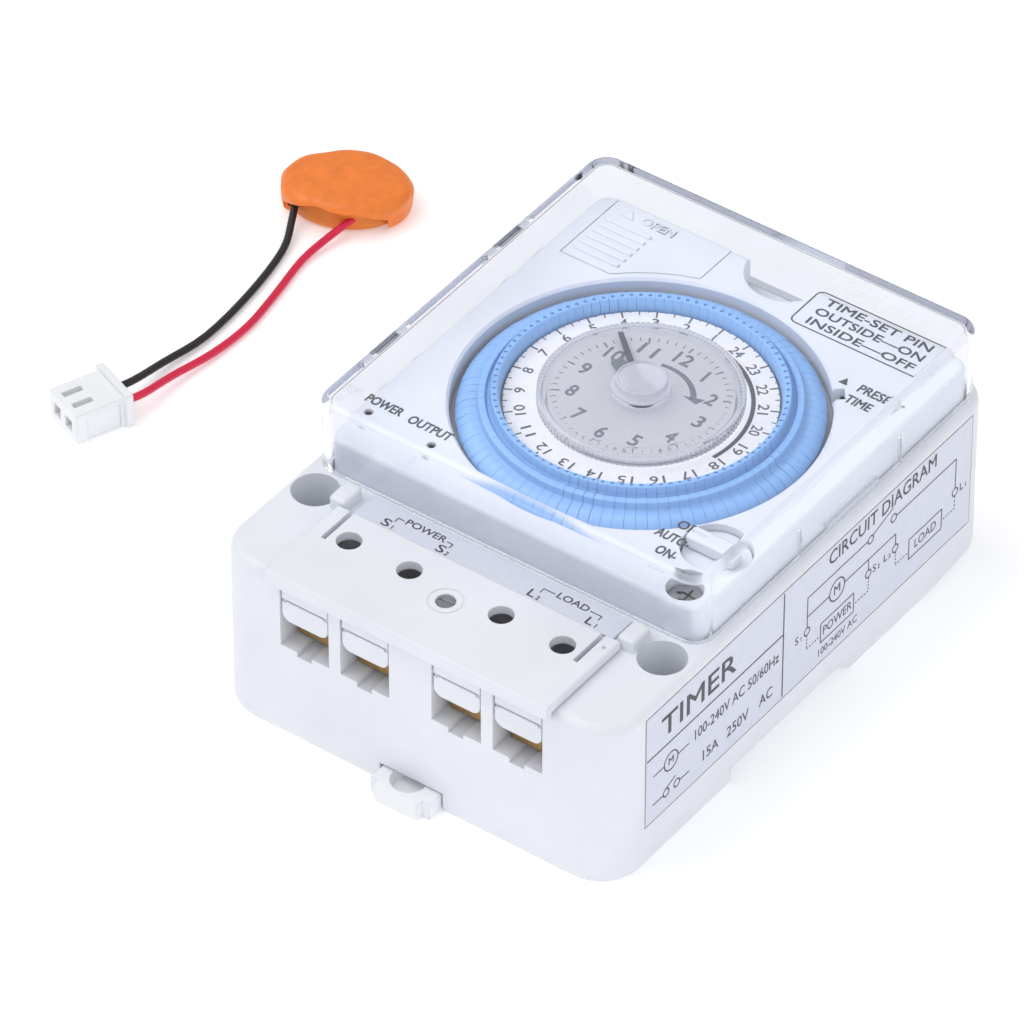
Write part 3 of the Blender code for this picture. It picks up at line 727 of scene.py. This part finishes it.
def mouth_tool():
    """The sleeve's opening: an arched cut through its front."""
    bm = bmesh.new()
    steps = 20
    rows = []
    for y in (-14.0, -3.6):
        row = []
        for k in range(steps + 1):
            x = -10.6 + 19.4 * k / steps
            share = abs(x + 0.9) / 9.7
            arch = 5.15 - 2.3 * share**3 + 0.5 * math.exp(-((x + 4) ** 2) / 9)
            row.append((bm.verts.new((x, y, -2.0)), bm.verts.new((x, y, arch))))
        rows.append(row)
    front, back = rows
    for k in range(steps):
        for low, high in ((front, front), (back, back)):
            bm.faces.new((low[k][0], low[k + 1][0], high[k + 1][1], high[k][1]))
        for level in (0, 1):
            bm.faces.new((front[k][level], front[k + 1][level], back[k + 1][level], back[k][level]))
    for k in (0, steps):
        bm.faces.new((front[k][0], front[k][1], back[k][1], back[k][0]))
    return tool(bm)


def sleeve_piece():
    """The shrink sleeve: a soft oval band pulled over the cells, open at its front."""
    low = ((0.5, 0.0), (0.86, 0.0), (0.93, 0.02), (0.97, 0.08), (0.985, 0.2), (0.995, 0.4))
    top = ((1.0, 0.60), (0.995, 0.70), (0.975, 0.79), (0.94, 0.87), (0.89, 0.93))
    top += ((0.80, 0.965), (0.62, 0.985), (0.35, 0.997), (0.12, 1.0))
    made = pillow("sleeve", 0.0, low + top)
    hollow = pillow("hollow", 0.55, ((0.9, 0.09), (0.97, 0.2), (0.99, 0.6), (0.93, 0.8), (0.8, 0.9)))
    combine(made, [("DIFFERENCE", hollow), ("DIFFERENCE", mouth_tool())])
    turn_piece(made, PACK, PACK_TURN)
    finish_piece(made, "battery_lead", "sleeve_orange", ["battery_sleeve"], angle=50)
    rings = ((0.6, 0.0), (0.93, 0.01), (0.98, 0.07), (1.0, 0.2), (1.0, 0.7), (0.96, 0.82), (0.7, 0.86))
    cells = pillow("wrapped_cells", 1.45, rings)
    turn_piece(cells, PACK, PACK_TURN)
    nodes = ["battery_cell_a", "battery_cell_b"]
    finish_piece(cells, "battery_lead", "sleeve_orange", nodes, CELL_ORANGE, 50)


sleeve_piece()


# ------------------------------------------------------------ case

CASE_TOP = 34.0
RAIL = (-21.9, 13.6)


def rail_tool():
    bm = bmesh.new()
    for vert in box_into(bm, (-60, RAIL[0], -4), (60, RAIL[1], 3.4)):
        if vert.co.y > 0:
            vert.co.y += -4.0 if vert.co.z > 0 else 4.5
    return tool(bm)


def taper_tool():
    bm = bmesh.new()
    for vert in box_into(bm, (-60, 30.1, -6), (60, 66, 0)):
        if vert.co.z > -1 and vert.co.y > 60:
            vert.co.z = 3.6
    return tool(bm)


def post_tool():
    """Chamfered latch posts beside the terminal cover."""
    bm = bmesh.new()
    for s in (-1, 1):
        low, high = sorted((s * 27.7, s * 31.1))
        fresh = box_into(bm, (low, -36.4, 30), (high, -31.2, 36.5))
        soften(bm, fresh, 0.7, 3, lambda a, b: min(a.z, b.z) > 36 or upright(a, b))
    return tool(bm)


def base_piece():
    shell = new_mesh(
        "case_base",
        block((-41, -55.5, 0), (41, 55.5, CASE_TOP), 8.0, 1.9, 0.9, segments=12, rim=6),
    )
    ears = []
    for y in HINGES:
        for s in (-1, 1):
            ears.append(((-40.8, y + s * 4.7 - 1.2, 30), (-38.2, y + s * 4.7 + 1.2, 36.8)))
    wells, holes = [], [(LID_SCREW, 24, 50, 1.3)]
    for x in (-WELL[0], WELL[0]):
        wells.append(((x, WELL[1]), 4.5, 50, 4.2))
        holes.append(((x, WELL[1]), -5, 8, 2.1))
    channels = [((x - 5, -60, 19.5), (x + 5, -38.5, 50)) for x in POLES]
    grooves = [((x - 1.6, -62, 18.5), (x + 1.4, -46.5, 25)) for x in POLES]
    columns = [((s * FIXING[0], FIXING[1]), 3, 29.7, 3.6) for s in (-1, 1)]
    threads = [((s * FIXING[0], FIXING[1]), 15, 40, 1.6) for s in (-1, 1)]
    cut = [
        boxes([((-37.9, -27.7, 5.2), (37.9, 51.4, 60))]),
        rail_tool(),
        boxes([((-6.5, -60, -2), (6.5, RAIL[0] + 2, 3.9))]),
        taper_tool(),
        boxes(channels),
        boxes(grooves),
        boxes([((40.55, -46.6, 8.2), (50, 48.4, 32.2))]),
        rods(wells, 64),
        rods(holes, 32),
        along_y([HINGE_BORE], HINGE_RADIUS),
    ]
    steps = [("UNION", boxes(ears)), *(("DIFFERENCE", t) for t in cut)]
    steps += [("UNION", post_tool()), ("UNION", rods(columns, 32)), ("DIFFERENCE", rods(threads, 24))]
    finish_piece(combine(shell, steps), "case", "case_plastic", ["base_housing"])


def rail_clip_piece():
    """The stepped sliding clip with its scooped pull."""
    bm = block((-6.1, -60.1, 0.2), (6.1, -23.0, 3.5), 0.9, 0.5, 0.2, 4, 3, lambda a: a.y < -40)
    made = new_mesh("rail_clip_slider", bm)
    scoop = bmesh.new()
    rod_into(scoop, (-0.4, -55.6), 1.7, 6.0, 2.7, 40, 3.9)
    tongue = boxes([((-6.1, -24.0, 0.2), (6.1, -20.6, 1.8))])
    cut = []
    for s in (-1, 1):
        low, high = sorted((s * 4.5, s * 8.0))
        cut.append(((low, -62.0, -1.0), (high, -58.6, 5.0)))
        low, high = sorted((s * 3.2, s * 4.4))
        cut.append(((low, -48.0, -2.0), (high, -29.0, 8.0)))
    steps = [("UNION", tongue), ("DIFFERENCE", tool(scoop)), ("DIFFERENCE", boxes(cut))]
    finish_piece(combine(made, steps), "clip", "nylon", ["rail_clip"])


# ------------------------------------------------------------ terminal cover


def lid_piece():
    lid = new_mesh(
        "terminal_lid_cover",
        block((-28.8, -57.1, 34.3), (28.8, -36.7, 36.0), 0.9, 0.45, 0.0, 4, 4, lambda a: a.y < -50),
    )
    lip = bmesh.new()
    fresh = box_into(lip, (-28.8, -57.1, 33.0), (28.8, -55.8, 35.9))
    soften(lip, fresh, 0.6, 4, lambda a, b: max(a.y, b.y) < -57 and abs(a.x - b.x) > 1)
    panels = [((x - 4.7, -55.3, 29.8), (x + 4.7, -54.3, 35.0)) for x in POLES]
    holes = [((x, -43.0), 30, 40, 2.2) for x in POLES]
    arms = []
    for s in (-1, 1):
        low, high = sorted((s * 25.2, s * 26.1))
        arms.append(((low, -45.0, 30), (high, -30, 40)))
    ring = bmesh.new()
    turned_into(ring, LID_SCREW, [(2.85, 37), (3.1, 37), (3.1, 35.92), (2.85, 35.92)], 64)
    sink = bmesh.new()
    rod_into(sink, LID_SCREW, 35.1, 40, 1.75, 48)
    steps = [
        ("UNION", tool(lip)),
        ("UNION", boxes(panels)),
        ("DIFFERENCE", rods(holes, 64)),
        ("DIFFERENCE", rods([(LID_SCREW, 30, 40, 1.2)], 32)),
        ("DIFFERENCE", tool(sink)),
        ("DIFFERENCE", tool(ring)),
        ("DIFFERENCE", rods([((27.5, -39.6), 35.6, 40, 0.35)], 24)),
        ("DIFFERENCE", boxes(arms)),
    ]
    made = combine(lid, steps)
    finish_piece(made, "terminal_lid", "case_plastic", ["terminal_cover"])


def flap_piece(number, x):
    """A thin wire-entry flap with round lower corners and small hinge stubs."""
    bm = bmesh.new()
    fresh = box_into(bm, (x - 4.7, -55.3, 25.2), (x + 4.7, -54.3, 29.4))
    soften(bm, fresh, 1.7, 8, lambda a, b: max(a.z, b.z) < 26 and abs(a.y - b.y) > 0.5)
    made = new_mesh(f"flap_{number}_panel", bm)
    cut = []
    for s in (-1, 1):
        low, high = sorted((x + s * 3.9, x + s * 5.2))
        cut.append(((low, -56, 29.05), (high, -55.0, 30)))
    combine(made, [("DIFFERENCE", boxes(cut))])
    finish_piece(made, f"flap_{number}", "case_plastic", [f"entry_flap_{number}"])


# ------------------------------------------------------------ front panel

PLATE_TOP = 40.6
DOOR = (-34.1, -10.7, 33.5, 50.7)


def door_bm(grow, low, high):
    left, right, front, back = DOOR
    return block((left - grow, front - grow, low), (right + grow, back + 3 * grow, high))


def panel_piece():
    half, front, back, wall = 37.6, -27.4, 51.1, 1.8
    plate = new_mesh(
        "front_panel", block((-half, front, 30), (half, back, PLATE_TOP), 3.0, 1.0, 0, 6, 4)
    )
    left, right, low_y, high_y = DOOR
    hollow = boxes(
        [((-half + wall, front + wall, 20), (half - wall, back - wall, PLATE_TOP - wall))]
    )
    cup = rods([(DIAL, 34.6, 39.6, 33.6)], 128)
    boss = rods([(FIXING, 30.0, 39.6, 4.2)], 40)
    mode_cup = rods([(MODE, 35.4, 39.6, 6.3)], 48)
    bay = boxes([((left - 0.6, low_y - 0.2, 18.0), (right + 0.8, high_y - 0.6, 39.6))])
    grip = boxes([((-8.4, 42.0, 33.0), (9.6, 50.4, 39.6))])
    scoop = bmesh.new()
    rod_into(scoop, (0.6, 51.5), 35.0, 60, 7.6, 64)
    notch = bmesh.new()
    fresh = box_into(notch, (31.0, -1.4, 37.6), (34.2, 1.4, 60))
    spin = Matrix.Rotation(math.radians(39.5), 3, "Z")
    bmesh.ops.rotate(notch, cent=(0, 0, 0), matrix=spin, verts=fresh)
    bmesh.ops.translate(notch, vec=(*DIAL, 0), verts=fresh)
    bay_cut = boxes([((left + 0.6, low_y + 1.0, 19.2), (right - 0.4, 49.0, 60))])
    combine(bay_cut, [("DIFFERENCE", rods([(DIAL, 10, 70, 35.0)], 96))])
    door_cut = tool(door_bm(GAP * 0.6, 39.0, 60))
    combine(door_cut, [("DIFFERENCE", rods([(DIAL, 10, 70, 33.7)], 128))])
    bevelled = bmesh.new()
    rod_into(bevelled, DIAL, PLATE_TOP - 0.5, PLATE_TOP + 0.3, 32.2, 192, 32.95)
    small = [(FIXING, 20, 60, 1.6), (MODE, 20, 60, 2.3), ((0.0, -17.7), 20, 37, 1.7)]
    small += [(spot, 34, 60, 0.8) for spot in LAMP_HOLES]
    steps = [("DIFFERENCE", hollow)]
    steps += [("UNION", t) for t in (cup, boss, mode_cup, bay, grip)]
    cuts = [
        rods([(DIAL, 35.8, 60, 32.2)], 192),
        tool(bevelled),
        rods([(MODE, 38.0, 60, 5.8)], 64),
        rods([(FIXING, 36.6, 60, 3.2)], 48),
        rods(small, 24),
        tool(scoop),
        tool(notch),
        door_cut,
        bay_cut,
    ]
    steps += [("DIFFERENCE", t) for t in cuts]
    steps += [("UNION", rods([(DIAL, 34.9, 40.7, 3.2)], 48))]
    steps += [("DIFFERENCE", rods([(DIAL, 20, 60, 2.2)], 32))]
    finish_piece(combine(plate, steps), "case", "case_plastic", ["front_housing"])


def door_piece():
    """The battery door with its ribs and raised open mark."""
    door = new_mesh("battery_hatch", door_bm(0.0, 39.3, PLATE_TOP))
    ribs = bmesh.new()
    for k in range(6):
        low = 35.4 + k * 1.85
        fresh = box_into(ribs, (-33.0, low, 40.2), (-23.6, low + 0.8, 40.98))
        soften(ribs, fresh, 0.22, 2, lambda a, b: min(a.z, b.z) > 40.9)
    steps = [("DIFFERENCE", rods([(DIAL, 10, 70, 33.9)], 128)), ("UNION", tool(ribs))]
    finish_piece(combine(door, steps), "door", "case_plastic", ["battery_door"])
    raised = deck(PLATE_TOP)
    raised.DEPTH = 0.16
    raised.words("OPEN", -24.2, 48.2, 2.0, 6.6, 0.02)
    raised.shape([(-31.4, 47.2), (-28.9, 47.2), (-30.15, 49.3)])
    raised.done("hatch_mark", "door", "case_plastic", LOOKS["case_plastic"])


def mode_piece():
    """The mode knob: a rounded bar on a sunk disc, with its stem and cam."""
    x, y = MODE
    bar = block((x - 5.0, y - 1.6, 39.6), (x + 3.6, y + 1.6, 41.9), 0.7, 0.6, 0, 5, 4)
    knob = new_mesh("mode_knob_cap", bar)
    base = bmesh.new()
    rod_into(base, MODE, 38.4, 39.2, 5.5, 64)
    steps = [
        ("UNION", tool(base)),
        ("UNION", rods([(MODE, 31.0, 39.0, 1.9)], 32)),
        ("UNION", boxes([((x - 4.4, y - 1.2, 31.0), (x + 1.5, y + 1.2, 33.4))])),
        ("DIFFERENCE", boxes([((x - 4.4, y - 0.25, 41.75), (x - 1.6, y + 0.25, 45))])),
    ]
    finish_piece(combine(knob, steps), "mode_switch", "case_plastic", ["mode_knob"])


# ------------------------------------------------------------ clear cover


def cover_piece():
    half, front, back, wall, top = 39.6, -29.6, 52.9, 1.4, 48.6
    cover = new_mesh("clear_lid", block((-half, front, 28), (half, back, top), 4.2, 1.2, 0, 10, 5))
    inner = block(
        (-half + wall, front + wall, 20), (half - wall, back - wall, top - wall), 2.8, 0.8, 0, 8, 4
    )
    ears, barrels = [], []
    for y in HINGES:
        barrels.append(((-40.6, y - 3.0, 34.7), (-38.6, y + 3.0, 36.7)))
        for s in (-1, 1):
            ears.append(((-45, y + s * 4.7 - 1.6, 20), (-37, y + s * 4.7 + 1.6, 37.5)))
    slits = [((36, y - 0.25, 20), (42, y + 0.25, 40.2)) for y in (-0.8, 28.4)]
    steps = [
        ("DIFFERENCE", tool(inner)),
        ("DIFFERENCE", boxes([((-60, -60, 10), (60, 80, CASE_TOP + GAP))])),
        ("DIFFERENCE", boxes(ears)),
        ("DIFFERENCE", boxes(slits)),
        ("UNION", boxes(barrels)),
        ("UNION", boxes([((39.0, 6.0, 36.0), (40.2, 21.0, 36.8))])),
        ("DIFFERENCE", along_y([HINGE_BORE], HINGE_RADIUS)),
    ]
    finish_piece(combine(cover, steps), "cover", "clear_plastic", ["clear_cover"])


# ------------------------------------------------------------ dial


def pin_ring_piece():
    """Ninety-six time pins side by side: dimpled crest, groove, second crest and a hollow skirt."""
    profile = [
        (23.55, 41.3), (23.75, 42.4), (24.0, 43.15), (24.15, 43.3), (24.95, 43.38),
        (25.1, 43.25), (25.2, 42.6), (25.3, 41.7), (25.55, 41.35), (25.85, 41.35),
        (26.05, 41.75), (26.2, 41.9), (27.15, 41.86), (27.3, 41.7), (27.4, 41.0),
        (27.5, 40.45), (27.7, 40.25), (28.0, 40.2), (28.5, 40.14), (29.0, 40.04),
        (29.4, 39.88), (29.75, 39.65), (30.5, 39.1), (31.05, 38.7), (31.2, 38.5),
        (31.2, 38.05), (30.6, 38.05), (29.2, 38.95), (28.75, 39.05), (27.3, 39.05),
        (26.9, 39.95), (23.55, 39.95),
    ]
    bm = bmesh.new()
    step = 360 / TEETH
    for k in range(TEETH):
        out = 0.035 * math.sin(k * 2.4) + 0.03 * math.sin(k * 5.1)
        slit = 0.22 if (k * 7) % 19 in (0, 5) else 0.08
        shape = [(r + out * (r > 28.5) - 0.07 * (r > 31), z) for r, z in profile]
        turned_into(bm, DIAL, shape, 3, k * step + slit / 2, step - slit)
    made = new_mesh("time_pins", bm)
    dimples = bmesh.new()
    for k in range(TEETH):
        spot = around(24.55, (k + 0.5) * step)
        rod_into(dimples, spot, 43.05, 43.75, 0.3, 12, 0.5)
    combine(made, [("DIFFERENCE", tool(dimples))])
    finish_piece(made, "day_dial", "blue_plastic", ["pin_ring"], angle=24)


def set_disc_piece():
    """The clear knurled disc over the clock dial."""
    bm = bmesh.new()
    steps = 360
    rings = [
        (17.25, 43.5), (17.55, 43.25), (17.6, 41.25), (17.4, 41.12), (16.9, 41.12),
        (16.7, 41.3), (16.6, 42.85), (5.2, 42.85), (5.0, 42.95), (5.0, 43.4),
        (5.1, 43.5), (15.2, 43.5), (15.35, 43.4), (15.8, 43.4), (15.95, 43.5),
    ]
    loops = []
    for k in range(steps):
        angle = 2 * math.pi * k / steps
        knurl = 0.16 * (k % 3 == 0)
        spin = (math.cos(angle), math.sin(angle))
        loop = []
        for r, z in rings:
            reach = r - knurl if r > 17.2 else r
            lift = z - 0.1 * (k % 3 == 0) if 15.9 < r < 17.5 and z > 43 else z
            loop.append(bm.verts.new((DIAL[0] + reach * spin[0], DIAL[1] + reach * spin[1], lift)))
        loops.append(loop)
    for here, there in zip(loops, loops[1:] + loops[:1]):
        for i in range(len(rings)):
            j = (i + 1) % len(rings)
            bm.faces.new((here[i], here[j], there[j], there[i]))
    made = new_mesh("clock_set_disc", bm)
    finish_piece(made, "day_dial", "clear_plastic", ["set_disc"], DISC_CLEAR, angle=25)


def knob_piece():
    profile = [
        (0.001, 45.72), (3.85, 45.76), (3.95, 45.9), (4.3, 45.88), (4.4, 45.78),
        (4.4, 44.7), (4.45, 44.6), (5.1, 44.55), (5.2, 44.45), (5.2, 44.0),
        (5.1, 43.9), (0.001, 43.9),
    ]
    made = new_mesh("centre_knob_cap", turned(profile, 96))
    finish_piece(made, "minute", "knob_plastic", ["centre_knob"], angle=30)


def hand_piece(name, body, node, low, high, hub, reach, tip, root, degrees, look=None):
    """A flat tapered hand with a round hub."""
    bm = bmesh.new()
    rod_into(bm, (0, 0), low, high, hub, 48)
    made = new_mesh(name, bm)
    blade = bmesh.new()
    for vert in box_into(blade, (0.5, -0.5, low), (reach, 0.5, high)):
        half = root if vert.co.x < 1 else tip
        vert.co.y = math.copysign(half / 2, vert.co.y)
    steps = [("UNION", tool(blade))]
    if node == "hour_hand":
        steps.append(("UNION", rods([((0, 0), 33.2, 41.9, 1.9)], 32)))
    steps.append(("DIFFERENCE", rods([((0, 0), 10, 60, 1.1)], 32)))
    combine(made, steps)
    turn_piece(made, DIAL, degrees)
    finish_piece(made, body, "hand_black", [node], look)


def figure_width(hour, one):
    """The width of an hour's figures. A lone 1 keeps its own."""
    if hour == 1:
        return None
    return one if hour < 10 else 2 * one


def dial_print():
    """Hour marks on the turning dial, and the clock's marks and turning arrow."""
    ring = deck(HOUR_DIAL_TOP)
    for k in range(TEETH):
        degrees = MIDNIGHT + 360 / TEETH * k
        inner, width = ((21.7, 0.3), (22.9, 0.16), (22.35, 0.2), (22.9, 0.16))[k % 4]
        ring.line(around(inner, degrees), around(23.2, degrees), width)
    for hour in range(1, 25):
        degrees = MIDNIGHT + 15 * hour
        u, v = around(20.35, degrees)
        ring.words(str(hour), u, v, 1.95, figure_width(hour, 1.25), 0.02, degrees - 90)
    ring.arc(DIAL, 18.75, 0.75, -14.9, 74.0)
    ring.done("hour_print", "day_dial", "white_dial", SOFT_INK)
    clock = deck(CLOCK_DIAL_TOP)
    for k in range(60):
        inner, width = (13.7, 0.32) if k % 5 == 0 else (14.25, 0.18)
        clock.line(around(inner, 6 * k), around(15.1, 6 * k), width)
    for hour in range(1, 13):
        u, v = around(11.7, 90 - 30 * hour)
        clock.words(str(hour), u, v, 3.0, figure_width(hour, 1.55), 0.07)
    clock.arc(DIAL, 8.7, 0.7, 103.0, 33.0, taper=1.5)
    clock.shape([around(7.0, 36.0), around(10.7, 30.0), around(9.3, 22.0)])
    clock.done("clock_print", "case", "white_dial", CLOCK_INK)


# ------------------------------------------------------------ lettering


def panel_print():
    face = deck(PLATE_TOP)
    for text, u, v, width in (
        ("POWER", -34.0, -16.9, 7.2),
        ("OUTPUT", -24.3, -17.2, 8.6),
        ("OFF", 25.2, -12.3, 4.4),
        ("AUTO-", 24.4, -15.9, 6.4),
        ("ON-", 25.6, -19.5, 3.9),
        ("PRESET", 31.2, 33.6, 7.6),
        ("TIME", 29.6, 30.2, 5.0),
    ):
        face.words(text, u, v, 2.1, width, 0.06)
    face.shape([(23.6, 32.9), (25.4, 32.9), (24.5, 34.6)])
    rows = (("TIME-SET PIN", 49.0, 21.5), ("OUTSIDE—ON", 46.1, 21.8), ("INSIDE—OFF", 43.2, 21.6))
    for text, v, width in rows:
        face.words(text, 21.0, v, 1.9, width, 0.05)
    left, right, low, high, turn = 7.7, 34.3, 41.4, 50.9, 1.2
    corners = ((right - turn, high - turn, 0), (left + turn, high - turn, 90))
    corners += ((left + turn, low + turn, 180), (right - turn, low + turn, 270))
    for u, v, start in corners:
        face.arc((u, v), turn, 0.28, start, start + 90, 8)
    for a, b in (
        ((left + turn, high), (right - turn, high)),
        ((left + turn, low), (right - turn, low)),
        ((left, low + turn), (left, high - turn)),
        ((right, low + turn), (right, high - turn)),
    ):
        face.line(a, b, 0.28)
    face.done("panel_print", "case", "case_plastic")


def strip_print():
    """Terminal names on the strip behind the terminal cover."""
    strip = deck(34.5)
    for mark, index, u in (("S", "1", -20.6), ("S", "2", -9.4), ("L", "2", 9.2), ("L", "1", 20.9)):
        strip.words(mark, u, -34.4, 1.9, 1.5 if mark == "S" else 1.3, 0.02)
        strip.words(index, u + 1.5, -34.8, 1.0, None, 0.02)
    for text, low, high in (("POWER", -19.6, -8.4), ("LOAD", 10.2, 21.9)):
        middle = (low + high) / 2
        wide = 8.0 if text == "POWER" else 6.2
        strip.words(text, middle, -32.2, 1.5, wide, 0.02)
        for end, inner in ((low, middle - wide / 2 - 0.4), (high, middle + wide / 2 + 0.4)):
            strip.path([(end, -33.4), (end, -32.3), (inner, -32.3)], 0.2)
    strip.done("strip_print", "case", "printed_label")


def label_print():
    """Rating rows and a plain circuit sketch on the side label."""
    side = Print((41.0, 0, 0), (0, 1, 0), (0, 0, 1))
    thin, ring = 0.24, 0.8
    side.line((-7.35, 8.8), (-7.35, 31.6), 0.3)
    side.line((-46.1, 22.65), (-7.4, 22.65), 0.3)
    side.words("TIMER", -31.6, 26.7, 4.6, 21.0, 0.05)
    side.arc((-39.3, 18.2), 1.9, 0.28)
    side.words("M", -39.3, 18.2, 1.6, None, 0.02)
    side.line((-44.3, 18.2), (-41.2, 18.2), thin)
    side.line((-37.4, 18.2), (-34.2, 18.2), thin)
    side.words("100-240V AC 50/60Hz", -20.8, 18.6, 2.3, 24.0, 0.01)
    side.path([(-44.4, 11.9), (-41.4, 11.9)], thin)
    side.line((-40.9, 12.8), (-38.0, 13.9), thin)
    side.line((-36.8, 12.0), (-34.1, 12.0), thin)
    side.words("15A", -28.3, 12.3, 2.3, 4.4, 0.01)
    side.words("250V", -20.3, 12.3, 2.3, 6.2, 0.01)
    side.words("AC", -12.1, 12.3, 2.3, 3.8, 0.01)
    side.words("CIRCUIT DIAGRAM", 21.6, 29.6, 3.0, 31.6, 0.02)
    side.path([(-0.4, 19.1), (-0.4, 25.7), (17.2, 25.7)], thin)
    side.line((18.6, 26.2), (24.6, 28.0), thin)
    side.path([(25.6, 25.6), (43.5, 25.6), (43.5, 19.2)], thin)
    ends = [(-40.6, 12.0), (-37.6, 12.0), (18.0, 25.6), (24.8, 25.6)]
    ends += [(u, 18.3) for u in (-0.4, 17.6, 25.6, 43.5)]
    for end in ends:
        side.arc(end, ring, 0.26, steps=24)
    side.arc((8.3, 21.5), 2.2, 0.28)
    side.words("M", 8.3, 21.5, 2.0, None, 0.01)
    side.line((-0.3, 21.5), (6.1, 21.5), thin)
    side.path([(10.5, 21.5), (25.6, 21.5), (25.6, 19.1)], thin)
    side.line((17.6, 21.4), (17.6, 19.1), thin)
    low = 12.8
    frames = (("POWER", 3.7, 13.4, 17.0, 8.4), ("LOAD", 29.8, 39.6, 17.2, 6.4))
    for text, left, right, high, wide in frames:
        side.path([(left, low), (right, low), (right, high), (left, high), (left, low)], thin)
        side.words(text, (left + right) / 2, (low + high) / 2, 2.0, wide)
    side.words("100-240V AC", 8.7, 10.7, 1.6, 11.4)
    dotted = (
        [(-0.4, 17.4), (-0.4, 14.4), (3.5, 14.4)],
        [(17.7, 17.4), (17.7, 14.4), (13.5, 14.4)],
        [(25.7, 17.4), (25.7, 14.5), (29.7, 14.5)],
        [(43.5, 17.4), (43.5, 14.6), (39.7, 14.6)],
    )
    for points in dotted:
        side.path(points, thin, 0.4)
    for mark, index, u in (("S", "1", -3.4), ("S", "2", 19.4), ("L", "2", 22.6), ("L", "1", 45.4)):
        side.words(mark, u, 18.2, 1.7, None, 0.01)
        side.words(index, u + 1.3, 17.8, 1.0, None, 0.01)
    side.done("label_print", "case", "printed_label")


# ------------------------------------------------------------ the rest


def dress_nodes():
    """Gives every carried-over CAD node its finish."""
    slots = {s["node"]: s["material_slot"] for s in frame["record"]["subparts"]}
    for name, node in frame["nodes"].items():
        node.data.materials.clear()
        node.data.materials.append(LOOKS[slots[name]])
        for face in node.data.polygons:
            face.material_index = 0


SKY = 0.69
LAMPS = (("key", (-450, -250, 900), 0.9, 4.3), ("fill", (750, -350, 500), 0.9, 2.0))


def stage_and_light():
    bm = bmesh.new()
    bmesh.ops.create_grid(bm, x_segments=1, y_segments=1, size=4000)
    floor = new_mesh("floor", bm)
    floor.location.z = -0.1 * MM
    n = Nodes("floor_paper")
    n.link(
        n.mix(n.spread(n.noise(900.0), 0.0, 1.0), srgb(252, 252, 253), srgb(250, 250, 252)),
        n.shader.inputs["Base Color"],
    )
    n.shader.inputs["Roughness"].default_value = 0.9
    n.shader.inputs["Specular IOR Level"].default_value = 0.1
    n.shader.inputs["Emission Color"].default_value = (1.0, 1.0, 1.0, 1.0)
    n.shader.inputs["Emission Strength"].default_value = 0.23
    floor.data.materials.append(n.material)
    scene = bpy.context.scene
    world = bpy.data.worlds.new("studio")
    world.use_nodes = True
    tree = world.node_tree
    place = tree.nodes.new("ShaderNodeTexCoord")
    split = tree.nodes.new("ShaderNodeSeparateXYZ")
    ramp = tree.nodes.new("ShaderNodeValToRGB")
    tree.links.new(place.outputs["Generated"], split.inputs[0])
    tree.links.new(split.outputs["Z"], ramp.inputs["Fac"])
    tree.links.new(ramp.outputs["Color"], tree.nodes["Background"].inputs["Color"])
    low, high = ramp.color_ramp.elements
    low.position, low.color = 0.0, (0.50, 0.51, 0.54, 1.0)
    high.position, high.color = 0.8, (1.0, 1.0, 1.0, 1.0)
    tree.nodes["Background"].inputs["Strength"].default_value = SKY
    scene.world = world
    for name, spot, size, power in LAMPS:
        lamp = bpy.data.lights.new(name, "AREA")
        lamp.shape = "SQUARE"
        lamp.size = size
        lamp.energy = power
        holder = bpy.data.objects.new(name, lamp)
        scene.collection.objects.link(holder)
        holder.location = Vector(spot) * MM
        holder.rotation_euler = (-holder.location).to_track_quat("-Z", "Y").to_euler()
    scene.view_settings.view_transform = "Standard"


dress_nodes()
base_piece()
rail_clip_piece()
lid_piece()
for index, pole in enumerate(POLES, 1):
    flap_piece(index, pole)
panel_piece()
door_piece()
mode_piece()
cover_piece()
pin_ring_piece()
set_disc_piece()
knob_piece()
hand_piece("hour_pointer", "hour", "hour_hand", 41.8, 42.1, 2.6, 9.6, 2.2, 2.6, 151.0, HOUR_GREY)
hand_piece("minute_pointer", "minute", "minute_hand", 42.4, 42.65, 2.0, 15.6, 0.9, 1.3, 138.5)
dial_print()
panel_print()
strip_print()
label_print()
stage_and_light()
